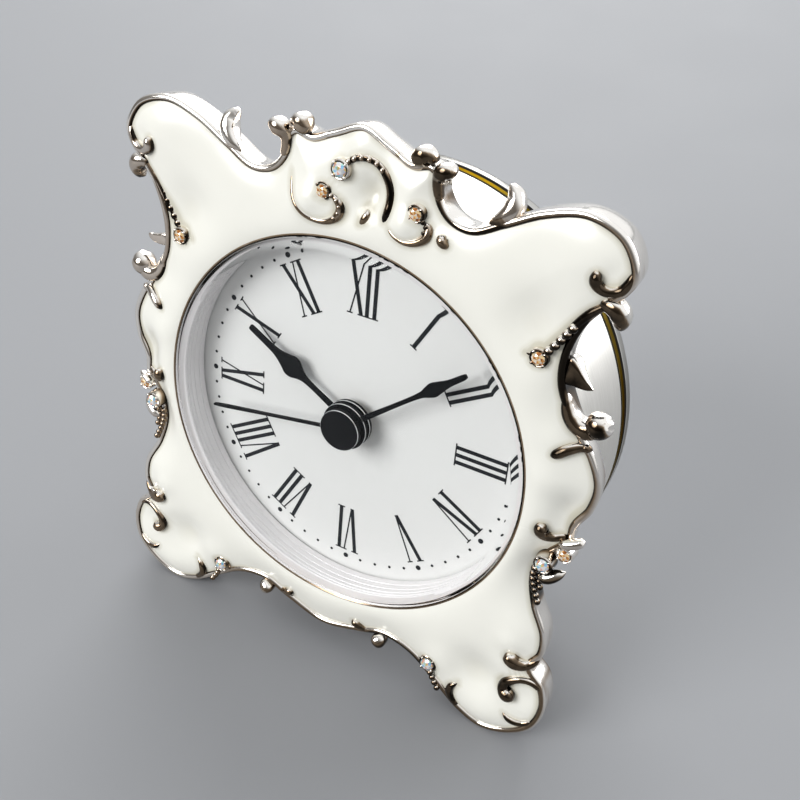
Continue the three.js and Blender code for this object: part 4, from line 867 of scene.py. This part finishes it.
silver_mesh = joined([casting_mesh, edge_mesh, scroll_mesh, horn_mesh, *chain_meshes, *cup_meshes])
filed = on_floor(points_of(silver_mesh))
silver_mesh.vertices.foreach_set("co", filed.ravel())
metal = bmesh.new()
metal.from_mesh(joined([edge_mesh, scroll_mesh, horn_mesh, *chain_meshes, *cup_meshes]))
metal_tree = BVHTree.FromBMesh(metal)
metal.free()
outward(silver_mesh)
up = np.array([0, UP.z, OUT.z])
normals = np.array([v.normal for v in silver_mesh.vertices])
places = points_of(silver_mesh)
facing_up = normals @ up
radius = np.maximum(np.hypot(places[:, 0], places[:, 1]), 1e-6)
facing_out = np.sum(normals[:, :2] * places[:, :2], axis=1) / radius


def belongs_to(mesh):
    """Which points of the frame's metal come from this mesh."""
    keys = {tuple(np.round(v.co, 3)) for v in mesh.vertices}
    return np.array([tuple(key) in keys for key in np.round(places, 3)])


is_scroll, is_horn, is_bead = [
    belongs_to(mesh) for mesh in (scroll_mesh, horn_mesh, joined(chain_meshes))]
x_at, y_at = places[:, 0], places[:, 1]
CHORD_REACH = 8.0
RECESS_START, RECESS_FULL = 0.3, 1.8
EDGE_REACH = 0.95
ring_of_points = np.vstack([edge, edge[:1]])
walked = np.append(0, np.cumsum(np.linalg.norm(np.diff(ring_of_points, axis=0), axis=1)))


def further(distance):
    """The outline's points, each moved on by a distance along the outline."""
    place = (walked[:-1] + distance) % walked[-1]
    return np.column_stack([np.interp(place, walked, column) for column in ring_of_points.T])


chord_middle = (further(CHORD_REACH) + further(-CHORD_REACH)) / 2
depth = np.sum((edge - chord_middle) * inwards, axis=1)
recess = smoothstep(RECESS_START, RECESS_FULL, depth)
outline_tree = KDTree(len(edge))
for number, (x, y) in enumerate(edge):
    outline_tree.insert((x, y, 0), number)
outline_tree.balance()
nearest = [outline_tree.find((x, y, 0)) for x, y, _ in places]
in_recess = recess[[found[1] for found in nearest]]
on_edge_bar = np.array([found[2] for found in nearest]) < EDGE_REACH
gap = gap_to(enamel_top, silver_mesh)
print(int(is_scroll.sum()), "points on scrolls,", int(is_horn.sum()), "on horns")

# %% [markdown]
# Five tones make the mask, and the darkest one counts at each point: undersides, metal beside the
# enamel, recesses of the outline, the fronts of scrolls, horns and beads, and the bar along the
# feet. Beside the enamel and in the recesses the mask is partly patina and partly painted shade;
# on undersides, fronts and the bar along the feet it is painted shade. Tops and outer sides are
# kept bright, as wear and painted highlight, and the right side takes more painted shade than the
# left, as if the light fell from the left.

# %% Patina and painted shade of the metal
UNDER_TONE, BESIDE_TONE, FRONT_TONE, FOOT_TONE, LIP_TONE = 0.85, 0.93, 0.72, 0.6, 0.50
BRIGHT_HORN, SHOULDER_BEAD, CREST_BEAD, SOFT_CREST = 0.45, 0.45, 1.2, 0.62
LEFT_TOP_HORN, LEFT_HORN, LEFT_TOP, LEFT_REST = 0.6, 0.5, 0.45, 0.8
LIP_WIDTH = 0.42
ARC_MIDDLE, ARC_RADIUS = (1.2, 30.4), 2.2
on_right = smoothstep(2, 8, x_at)

# Painted shade on undersides
under = UNDER_TONE * smoothstep(-0.1, 0.7, -facing_up)

# Tops, and the outer sides of horns, stay bright: wear and painted highlight
worn_and_lit_top = np.where(is_horn, smoothstep(0.58, 0.90, facing_up), smoothstep(0.75, 0.97, facing_up))
worn_and_lit_side = is_horn * smoothstep(0.45, 0.85, facing_out)
# Less painted shade on the left, as if the light fell from there
left_tone = np.where(is_horn, np.where(y_at > 30, LEFT_TOP_HORN, LEFT_HORN),
                     np.where(y_at > 5, LEFT_TOP, LEFT_REST))
# Painted shade on the fronts of scrolls, horns and beads
front = FRONT_TONE * (is_scroll | is_horn | is_bead) * (1 - np.maximum(worn_and_lit_top, worn_and_lit_side))
front *= on_right + (1 - on_right) * left_tone
top_horn = (np.abs(x_at) > 14) & (y_at > 29.5)
front *= np.where(is_horn & ((y_at < 0) | top_horn), BRIGHT_HORN, 1)
front *= np.where(is_bead & (y_at > 15), np.where(np.abs(x_at) > 20, SHOULDER_BEAD, CREST_BEAD), 1)

# Recesses of the outline: patina, with painted shade on faces turned down and less on the left
in_recess *= smoothstep(-0.85, -0.1, -facing_up) * np.where(is_horn, 0.8, 1.0)
in_recess *= 0.4 + 0.6 * smoothstep(-10, 10, x_at)

# Beside the enamel: patina and painted shade, reaching further on the right and on inner sides
inner_side = (1 - smoothstep(-0.5, 0.2, facing_out)) * smoothstep(20, 26, y_at)
inner_side *= smoothstep(10, 16, -x_at)
bar_reach = 0.32 + on_right * (0.10 + 0.30 * (1 - smoothstep(0.2, 0.75, facing_up)))
bar_reach += 0.45 * inner_side
beside = np.where(on_edge_bar, smoothstep(0.10, bar_reach, gap), smoothstep(0.30, 0.80, gap))
beside = BESIDE_TONE * (1 - beside) * (1 - 0.75 * smoothstep(0.45, 0.85, facing_up))

# Painted shade on the bar along the feet
foot = FOOT_TONE * on_edge_bar * smoothstep(18, 24, -y_at) * (1 - smoothstep(0.4, 0.9, facing_up))
foot *= (1 - smoothstep(0.2, 0.6, facing_out)) * (0.5 + 0.5 * smoothstep(-20, -10, x_at))

patina_and_shade = np.maximum.reduce([under, beside, in_recess, front, foot])
from_arc = np.hypot(x_at - ARC_MIDDLE[0], y_at - ARC_MIDDLE[1])
on_arc = (from_arc > ARC_RADIUS) & (x_at > -1.4) & (x_at < 4.7) & (y_at > 28.4)
soft_crest = is_scroll & (y_at > 26.5) & (np.abs(x_at) < 12.5) & ~on_arc
patina_and_shade *= np.where(soft_crest, SOFT_CREST, 1)
# The lip round the opening takes a middle tone of the same mask
store_patina_and_shade(silver_mesh, np.where(radius < OPENING + LIP_WIDTH, LIP_TONE, patina_and_shade))
print("dark share of the metal:", round(float(np.mean(patina_and_shade > 0.5)), 2))

# %% Painted shade of the enamel, and the frame in place
METAL_SHADE_TONE, METAL_SHADE_REACH, DIP_SHADE_TONE = 0.45, 1.2, 0.26
# Painted shade on the enamel: darker along the metal and in its dips
to_metal = gap_to(metal_tree, enamel_mesh)
enamel_shade = METAL_SHADE_TONE * (1 - smoothstep(0.0, METAL_SHADE_REACH, to_metal))
enamel_places = points_of(enamel_mesh)
for x, y, spread, lift in MOUNDS:
    enamel_shade += max(-DIP_SHADE_TONE * lift, 0) * bell(enamel_places, x, y, spread)
store_patina_and_shade(enamel_mesh, enamel_shade)
piece("frame_silver", silver_mesh, silver, replaced=["frame_casting"], crisp=40)
piece("frame_enamel", enamel_mesh, enamel, replaced=["enamel_field"], crisp=60)

# %% [markdown]
# ## Lens, ring and dial
# The lens is a thick disc with a narrow bevel and a ledge, and the bevel is what bends the heads of
# the numerals, so it is modelled as real glass. Behind it a white ring carries the dial.

# %% Lens, ring and dial
LENS_FRONT, LENS_BACK, LENS_RADIUS = 0.18, -1.3, 24.9
BEVEL_WIDTH, BEVEL_DROP, BEVEL_POWER, LEDGE = 0.9, 0.34, 1.6, 0.45
DIAL_FACE, DIAL_BACK, DIAL_RADIUS, DIAL_BORE = -5.7, -6.2, 28.0, 1.85
RING_INNER, RING_OUTER, RING_TOP, RING_FOOT = 23.85, 24.7, -1.6, DIAL_FACE + 0.3
GROOVES_AT = (-1.9, -2.5, -3.3, -4.3)
GROOVE = ((0, 0), (0.1, -0.07), (0.1, -0.15), (0, -0.22))
bevel_foot, ledge_z = LENS_RADIUS - LEDGE, LENS_FRONT - BEVEL_DROP
bevel = [(bevel_foot - BEVEL_WIDTH * (1 - t), LENS_FRONT - BEVEL_DROP * t ** BEVEL_POWER)
         for t in np.linspace(1, 0, 15)]
lens_profile = [(0, LENS_BACK), (LENS_RADIUS - 0.1, LENS_BACK), (LENS_RADIUS, LENS_BACK + 0.1),
                (LENS_RADIUS, ledge_z - 0.05), (LENS_RADIUS - 0.05, ledge_z), *bevel,
                (bevel_foot - BEVEL_WIDTH - 0.05, LENS_FRONT), (0, LENS_FRONT)]
piece("lens_bevelled", turned(lens_profile, FINE), lens_glass, replaced=["lens"],
      crisp=25)
grooves = [(RING_INNER + cut, z + rise) for z in GROOVES_AT for cut, rise in GROOVE]
ring_profile = [(RING_INNER, RING_FOOT), (RING_OUTER, RING_FOOT), (RING_OUTER, RING_TOP),
                (RING_INNER + 0.1, RING_TOP), (RING_INNER, RING_TOP - 0.1), *grooves]
piece("dial_wall", turned(ring_profile, WIDE), ring_white,
      replaced=["dial_ring"])
dial_plate = band(DIAL_BORE, DIAL_RADIUS, DIAL_BACK, DIAL_FACE, WIDE)
piece("dial_plate", dial_plate, dial_white, replaced=["dial"])

# %% [markdown]
# ## Printing on the dial
# The numerals are drawn as strokes: a thick bar, a thin bar and short serifs, put together as each
# Roman numeral needs them. They stand on a circle with their heads outwards. The dots of the
# minutes repeat round a circle, so a Geometry Nodes tree sets them, with every fifth one larger.

# %% Numerals
NUMERALS = ["XII", "I", "II", "III", "IV", "V", "VI", "VII", "VIII", "IX", "X", "XI"]
NUMERAL_FOOT, NUMERAL_HEAD = 14.1, 21.1
THICK, THIN, SERIF = 0.52, 0.19, 0.17
DIAL_TURN = 1.3
PRINT_Z, PRINT_THICK = DIAL_FACE + 0.02, 0.02
TALL = NUMERAL_HEAD - NUMERAL_FOOT


def bar_stroke(x0, y0, x1, y1, width):
    return [(x0 - width / 2, y0), (x0 + width / 2, y0), (x1 + width / 2, y1), (x1 - width / 2, y1)]


def serif(x, y, width):
    return [(x - width / 2, y - SERIF / 2), (x + width / 2, y - SERIF / 2),
            (x + width / 2, y + SERIF / 2), (x - width / 2, y + SERIF / 2)]


def letter(kind):
    """Strokes of one letter about its middle, and its width."""
    low, high = SERIF / 2, TALL - SERIF / 2
    if kind == "I":
        return [bar_stroke(0, 0, 0, TALL, THICK), serif(0, low, 1.06), serif(0, high, 1.06)], 1.04
    if kind == "V":
        return [bar_stroke(-0.82, TALL, 0.04, 0, THICK), bar_stroke(0.86, TALL, 0.14, 0, THIN),
                serif(-0.82, high, 1.05), serif(0.86, high, 0.8)], 2.3
    return [bar_stroke(-0.8, TALL, 0.8, 0, THICK), bar_stroke(0.8, TALL, -0.8, 0, THIN),
            serif(-0.8, high, 1.0), serif(0.8, high, 0.8), serif(-0.8, low, 0.8),
            serif(0.8, low, 1.0)], 2.1


points, faces = [], []
for hour, text in enumerate(NUMERALS):
    drawn = [letter(kind) for kind in text]
    pen = -sum(width for _, width in drawn) / 2
    heading = radians(90 + DIAL_TURN - 30 * hour)
    outwards = np.array([cos(heading), sin(heading)])
    across = np.array([sin(heading), -cos(heading)])
    for strokes, width in drawn:
        for stroke in strokes:
            faces.append(tuple(range(len(points), len(points) + 4)))
            for x, y in stroke:
                on_dial = outwards * (NUMERAL_FOOT + y) + across * (pen + width / 2 + x)
                points.append((*on_dial, PRINT_Z))
        pen += width
numeral_mesh = mesh_of(points, faces)
print(len(faces), "strokes in the numerals")

# %% Minute dots
DOT_CIRCLE, DOT, HOUR_DOT, DOT_SIDES = 22.0, 0.2, 0.36, 24
MINUTES, PER_HOUR = 60, 5
dots_tree, g_in, g_out = shape_tree("minute dots", ("Circle", FLOAT, DOT_CIRCLE),
                                    ("Dot", FLOAT, DOT), ("Hour Dot", FLOAT, HOUR_DOT))
track = node(dots_tree, "GeometryNodeMeshCircle", Vertices=MINUTES)
dot = node(dots_tree, "GeometryNodeMeshCircle", {"fill_type": "NGON"}, Vertices=DOT_SIDES,
           Radius=1.0)
number = node(dots_tree, "GeometryNodeInputIndex")
fifth = node(dots_tree, "ShaderNodeMath", {"operation": "MODULO"})
fifth.inputs[1].default_value = PER_HOUR
is_hour = node(dots_tree, "ShaderNodeMath", {"operation": "LESS_THAN"})
is_hour.inputs[1].default_value = 0.5
size = node(dots_tree, "ShaderNodeMix")
set_dots = node(dots_tree, "GeometryNodeInstanceOnPoints")
wire(dots_tree, (g_in, "Circle", track, "Radius"), (number, "Index", fifth, 0),
     (fifth, "Value", is_hour, 0), (is_hour, "Value", size, "Factor"), (g_in, "Dot", size, "A"),
     (g_in, "Hour Dot", size, "B"), (track, "Mesh", set_dots, "Points"),
     (dot, "Mesh", set_dots, "Instance"), (size, "Result", set_dots, "Scale"))
close_tree(dots_tree, g_in, g_out, set_dots.outputs["Instances"])
dots_mesh = run_tree(bpy.data.meshes.new("seed"), dots_tree, Circle=DOT_CIRCLE, Dot=DOT,
                     Hour_Dot=HOUR_DOT, Material=print_black)
turn_of_dial = Matrix.Rotation(radians(90 + DIAL_TURN), 4, "Z")
dots_mesh.transform(Matrix.Translation((0, 0, PRINT_Z)) @ turn_of_dial)


def raised(mesh, depth):
    """Flat printing given a little body, so that it is a closed solid."""
    low, flat = points_of(mesh), [tuple(face.vertices) for face in mesh.polygons]
    count, faces = len(low), list(flat)
    for face in flat:
        faces.append(tuple(corner + count for corner in face[::-1]))
        faces += [(b, a, a + count, b + count) for a, b in zip(face, face[1:] + face[:1])]
    return mesh_of(np.vstack([low, low + (0, 0, depth)]), faces)


printing = joined([raised(numeral_mesh, PRINT_THICK), raised(dots_mesh, PRINT_THICK)])
piece("dial_printing", printing, print_black)

# %% [markdown]
# ## Hands
# Each hand is a flat black blade on a round hub. The hour hand swells like a pear and ends in a
# slim point, the minute hand has a small leaf, and the second hand is a needle under a cap. Thin
# bright rims between the hubs are painted highlights: they stand in for the light on the hubs' edges.

# %% Hands
HOUR_BLADE = [(1.5, 0.42), (7.6, 0.42), (8.6, 0.75), (9.6, 1.40), (10.4, 1.52), (11.4, 1.05),
              (12.8, 0.55), (14.5, 0.42), (17.4, 0.36), (17.6, 0.28)]
MINUTE_BLADE = [(1.5, 0.38), (12.8, 0.38), (13.7, 0.66), (14.6, 0.88), (15.6, 0.72), (17.0, 0.44),
                (19.5, 0.30), (19.7, 0.2)]
SECOND_BLADE = [(0.5, 0.22), (10.0, 0.19), (19.8, 0.15), (19.9, 0.08)]
# Low and high end of each hub and of the cap
HOUR_HUB, MINUTE_HUB, CAP = (-4.55, -3.8), (-3.55, -2.8), (-2.55, -1.6)
# Piece, body, solid; blade, its angle and z; hub, its radius, bore and eased front
HANDS = [
    ("hour_hand_blade", "hour_train", "hour_hand",
     HOUR_BLADE, 151.8, (-4.32, -4.02), HOUR_HUB, 3.1, 1.86, 0.1),
    ("minute_hand_blade", "minute_train", "minute_hand",
     MINUTE_BLADE, 40, (-3.32, -3.02), MINUTE_HUB, 3.08, 1.31, 0.1),
    ("second_hand_needle", "seconds_train", "second_hand",
     SECOND_BLADE, 191, (-2.40, -2.10), CAP, 2.70, 0, 0.12),
]
# Bright rims, painted highlights on the hubs' edges: body, radius, middle
HIGHLIGHT_RIMS = [("minute_train", 3.11, MINUTE_HUB[1] - 0.16), ("seconds_train", 2.73, CAP[1] - 0.18),
        ("hour_train", 3.13, HOUR_HUB[1] - 0.16)]
RIM_THICK, RIM_HALF = 0.08, 0.06
HUB_EASE, BLADE_STEPS = 0.08, 6


def blade(outline_half, heights, angle):
    """A blade from half its outline (along, half width), turned to its angle on the dial."""
    line = smooth_line(outline_half, BLADE_STEPS)
    both = np.vstack([line, np.column_stack([line[::-1, 0], -line[::-1, 1]])])
    c, s = cos(radians(angle)), sin(radians(angle))
    flat = np.column_stack([both[:, 0] * c - both[:, 1] * s, both[:, 0] * s + both[:, 1] * c])
    count = len(flat)
    points, faces = loft([at_height(flat, z) for z in heights])
    faces += [tuple(range(count))[::-1], tuple(range(count, 2 * count))]
    return mesh_of(points, faces)


def hub(low, high, radius, bore, ease):
    return turned([(bore, low), (radius - HUB_EASE, low), (radius, low + HUB_EASE),
                   (radius, high - ease), (radius - ease, high), (bore, high)], SMALL)


for name, body, solid, drawing, angle, heights, hub_heights, radius, bore, ease in HANDS:
    hand = joined([blade(drawing, heights, angle), hub(*hub_heights, radius, bore, ease)])
    piece(name, hand, hand_black, body, replaced=[solid])
# Bright rings as painted highlights on the hubs' edges
for body, radius, z in HIGHLIGHT_RIMS:
    hand_highlight = band(radius - RIM_THICK, radius, z - RIM_HALF, z + RIM_HALF, SMALL)
    piece(f"{body}_rim", hand_highlight, hub_highlight, body)

# %% [markdown]
# ## Drum and back
# The drum is turned metal, brushed round its axis. A groove near the rear holds a gold ring between
# two dark seams, and a polished rim closes the back. The profiles repeat the solids' sizes with
# softened edges, and many sides keep the outline round.

# %% Drum, ring and cover
DRUM, WALL, DRUM_FRONT, FLANGE_BACK, MOUTH = 30.3, 0.9, -4.3, -5.4, 25.25
INSIDE = DRUM - WALL
SEAM_FRONT, RING_FRONT, RING_REAR, SEAM_REAR = -17.85, -18.32, -19.22, -19.95
RING_SINK, SEAM_SINK, SEAM_GAP = 0.02, 0.05, 0.01
EASED, FRONT_EASED, RIM_ROUND = 0.08, 0.15, 1
COVER_FRONT, COVER_BACK, RIM_BACK = -20.2, -21.4, -21.96
# The rim's inner slope, from the rear down to the plate
RIM_SLOPE = [(28.2, RIM_BACK), (28.0, -21.9), (27.6, -21.5), (27.4, COVER_BACK)]
drum_profile = [(MOUTH, DRUM_FRONT), (DRUM - FRONT_EASED, DRUM_FRONT),
                (DRUM, DRUM_FRONT - FRONT_EASED), (DRUM, SEAM_FRONT + EASED),
                (DRUM - EASED, SEAM_FRONT), (INSIDE, SEAM_FRONT), (INSIDE, FLANGE_BACK),
                (MOUTH, FLANGE_BACK)]
piece("drum_shell", turned(drum_profile, FINE), brushed,
      replaced=["case_drum"], crisp=40)
ring_r = DRUM - RING_SINK
gold_profile = [(INSIDE, RING_FRONT), (ring_r - EASED, RING_FRONT), (ring_r, RING_FRONT - EASED),
                (ring_r, RING_REAR + EASED), (ring_r - EASED, RING_REAR), (INSIDE, RING_REAR)]
piece("gold_ring", turned(gold_profile, FINE), brass, replaced=["brass_ring"])
SEAMS = {"front_seam": (SEAM_FRONT, RING_FRONT), "rear_seam": (RING_REAR, SEAM_REAR)}
for name, (front, rear) in SEAMS.items():
    seam = band(INSIDE, DRUM - SEAM_SINK, front - SEAM_GAP, rear + SEAM_GAP, WIDE)
    piece(name, seam, black_seam)
highlight = [(DRUM - RIM_ROUND * (1 - cos(a)), RIM_BACK + RIM_ROUND * (1 - sin(a)))
       for a in np.radians(range(0, 91, 10))]
cover_profile = [(0, COVER_FRONT), (INSIDE, COVER_FRONT), (INSIDE, SEAM_REAR),
                 (DRUM - EASED, SEAM_REAR), (DRUM, SEAM_REAR - EASED), *highlight, *RIM_SLOPE,
                 (0, COVER_BACK)]
# This count keeps the points of a bore off the spokes of the plate
BORE_SIDES = 66


def carve(mesh, *cutters):
    """The mesh with the shape of each cutter taken out of it."""
    solid = placed("solid", outward(mesh))
    tools = [placed("tool", outward(cutter)) for cutter in cutters]
    for tool in tools:
        cut = solid.modifiers.new("cut", "BOOLEAN")
        cut.operation, cut.solver, cut.object = "DIFFERENCE", "EXACT", tool
    evaluated = solid.evaluated_get(bpy.context.evaluated_depsgraph_get())
    carved = bpy.data.meshes.new_from_object(evaluated)
    for made in (solid, *tools):
        bpy.data.objects.remove(made)
    return carved


def block(length, width, low, high, middle, turn=0):
    """A plain cutter or lug: a box of this length and width, turned on the board."""
    made = bmesh.new()
    place = Matrix.Translation((*middle, (low + high) / 2)) @ Matrix.Rotation(radians(turn), 4, "Z")
    size = Matrix.Diagonal((length, width, high - low, 1))
    bmesh.ops.create_cube(made, size=1, matrix=place @ size)
    return kept(made)


def rod(radius, low, high, middle):
    return turned([(0, low), (radius, low), (radius, high), (0, high)], BORE_SIDES, middle)


# %% [markdown]
# ## Battery cap and setting knob
# A coin turns the battery cap to its two notches, and the knob beside it sets the hands. The
# plate is bored for both, so each shows the narrow gap that lets it turn. The flutes of the knob
# are one wave on its radius.

# %% Cover, cap and knob
CELL_AT, KNOB_AT = (0, -12.2), (6.512, -4.230)
PLUG, LUG, KNOB, BORE = 6.1, 1.3, 3.6, 1.05
RIM_INNER = 27.7
THROUGH = (-23, -19)
PLUG_PLAY, NOTCH_PLAY, NOTCH_WIDTH, NOTCH_TURN = 0.05, 0.6, 3.0, -45
PLUG_BACK, PLUG_FRONT, PLUG_EASE = -21.7, -19.0, (0.25, 0.2)
COIN_SLOT, LUGS = (8, 1.2, -22.5, -21.0), (2.4, -19.9, -19.0)
FLUTES, FLUTE_DEPTH, KNOB_POINTS = 12, 0.13, 144
# Rings of the knob: radius, share of the flutes, z
KNOB_RINGS = [(0, 0, -21.7), (KNOB - 0.2, 1, -21.7), (KNOB, 1, -21.9), (KNOB, 1, -23.5),
              (KNOB - 0.3, 1, -23.8), (2.4, 0, -23.8), (2.2, 0, -23.6), (0, 0, -23.6)]
over_lugs = 2 * (PLUG + LUG)
cover = carve(turned(cover_profile, WIDE), rod(PLUG + PLUG_PLAY, *THROUGH, CELL_AT),
              block(over_lugs + NOTCH_PLAY, NOTCH_WIDTH, *THROUGH, CELL_AT, NOTCH_TURN),
              rod(BORE, *THROUGH, KNOB_AT))
cover.materials.clear()
for finish_of_part in (satin_steel, polished):
    cover.materials.append(finish_of_part)
for face in cover.polygons:
    face.material_index = int(face.center.xy.length > RIM_INNER)
piece("cover_plate", cover, satin_steel, replaced=["back_cover"], crisp=30)
plug_profile = [(0, PLUG_BACK), (PLUG - PLUG_EASE[0], PLUG_BACK), (PLUG, PLUG_BACK + PLUG_EASE[1]),
                (PLUG, PLUG_FRONT), (0, PLUG_FRONT)]
plug = carve(turned(plug_profile, SMALL, CELL_AT), block(*COIN_SLOT, CELL_AT))
piece("battery_cap_turned", joined([plug, block(over_lugs, *LUGS, CELL_AT)]), satin_steel,
      "battery_door", replaced=["battery_cap"], crisp=30)
angles = full_turn(KNOB_POINTS)
grip = FLUTE_DEPTH * np.cos(FLUTES * angles) - FLUTE_DEPTH
knob_rings = [at_height((radius + share * grip)[:, None] * on_circle(angles) + KNOB_AT, z)
              for radius, share, z in KNOB_RINGS]
piece("knob_fluted", mesh_of(*loft(knob_rings)), knob_black, "setting_shaft",
      replaced=["setting_knob"], crisp=30)

# %% [markdown]
# ## The works inside
# The movement, its train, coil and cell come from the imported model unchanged: their solids already
# have the right shape. They get the finish of their own metal or plastic.

# %% Finishes of the inner pieces
INNER = {
    movement_white: ["movement_holder", "movement_body", "movement_cover", "train_bridge",
                     "intermediate_wheel"],
    wheel_brass: ["hour_wheel", "cannon_pinion", "centre_wheel", "seconds_wheel", "third_wheel",
                  "minute_wheel", "contact_negative", "contact_positive"],
    iron: ["rotor", "stator", "coil_core", "setting_stem", "movement_screw_1", "movement_screw_2",
           *(f"case_screw_{number}" for number in range(1, 5))],
    copper: ["coil"], board_green: ["circuit_board"], polished: ["quartz_can", "button_cell"],
}
for material, names in INNER.items():
    for name in names:
        for place in frame["nodes"][name].material_slots:
            place.material = material
print(sum(len(names) for names in INNER.values()), "inner pieces")

# %% [markdown]
# ## Studio
# The clock stands on a plain grey floor between large soft lamps. A broad one at the front left
# gives the highlights on the enamel, one behind lights the crest from its back, and a cooler one at
# the rear right keeps the drum readable. The camera stands where the photograph was taken: above
# and to the right, close, with a normal lens.

# %% Floor, lamps and camera
FLOOR_HALF = 3
AIM = (0, 0, 0.03)
SKY_DARK, SKY_LIGHT, SKY_BRIGHT_SIDE = (0.17, 0.16, 0.15), (1.00, 1.02, 1.04), (0.38, 0.70, 0.60)
LENS_MM, SENSOR_MM, NEAREST = 46.722, 36, 0.005
CAMERA_AT, CAMERA_TURN = (0.053658, -0.082275, 0.124814), (46.6096, 1.3941, 30.0135)
CORNERS = [(-1, -1), (1, -1), (1, 1), (-1, 1)]
floor_mesh = mesh_of([(x * FLOOR_HALF, y * FLOOR_HALF, 0) for x, y in CORNERS], [(0, 1, 2, 3)])
floor_mesh.materials.append(finish("grey floor", (0.235, 0.24, 0.25), (0.22, 0.225, 0.235), 40,
                                   (0.6, 0.75), 0.02))
floor = placed("floor", floor_mesh)


def lamp(name, place, size, power, tint=(1, 1, 1)):
    """A round lamp that shines on the clock."""
    light = bpy.data.lights.new(name, "AREA")
    light.shape, light.size, light.energy, light.color = "DISK", size, power, tint
    made = placed(name, light)
    made.location = place
    made.rotation_euler = (Vector(AIM) - Vector(place)).to_track_quat("-Z", "Y").to_euler()


lamp("key_lamp", (-0.42, -0.62, 0.54), 0.6, 6.9)
lamp("back_lamp", (-0.35, 0.80, 0.55), 0.9, 9.0)
lamp("side_lamp", (0.66, 0.74, 0.20), 0.6, 5.0, (0.97, 0.98, 1.0))

world = bpy.data.worlds.new("studio")
world.use_nodes = True
bpy.context.scene.world = world
sky_tree = world.node_tree
direction = node(sky_tree, "ShaderNodeTexCoord")
to_back = node(sky_tree, "ShaderNodeVectorMath", {"operation": "DOT_PRODUCT"})
to_back.inputs[1].default_value = SKY_BRIGHT_SIDE
fade = node(sky_tree, "ShaderNodeMapRange", {"interpolation_type": "SMOOTHSTEP"}, From_Min=-0.3,
            From_Max=0.6)
sky_tones = node(sky_tree, "ShaderNodeMix", {"data_type": "RGBA"})
sky_tones.inputs["A"].default_value = rgb(*SKY_DARK)
sky_tones.inputs["B"].default_value = rgb(*SKY_LIGHT)
wire(sky_tree, (direction, "Generated", to_back, 0), (to_back, "Value", fade, "Value"),
     (fade, "Result", sky_tones, "Factor"),
     (sky_tones, "Result", sky_tree.nodes["Background"], "Color"))

camera_data = bpy.data.cameras.new("camera")
camera_data.lens, camera_data.sensor_width, camera_data.clip_start = LENS_MM, SENSOR_MM, NEAREST
camera = placed("camera", camera_data)
camera.location = CAMERA_AT
camera.rotation_euler = [radians(a) for a in CAMERA_TURN]
bpy.context.scene.camera = camera
bpy.context.scene.view_settings.view_transform = "Standard"
print(len(bpy.data.lights), "lamps, and a camera of", LENS_MM, "mm")
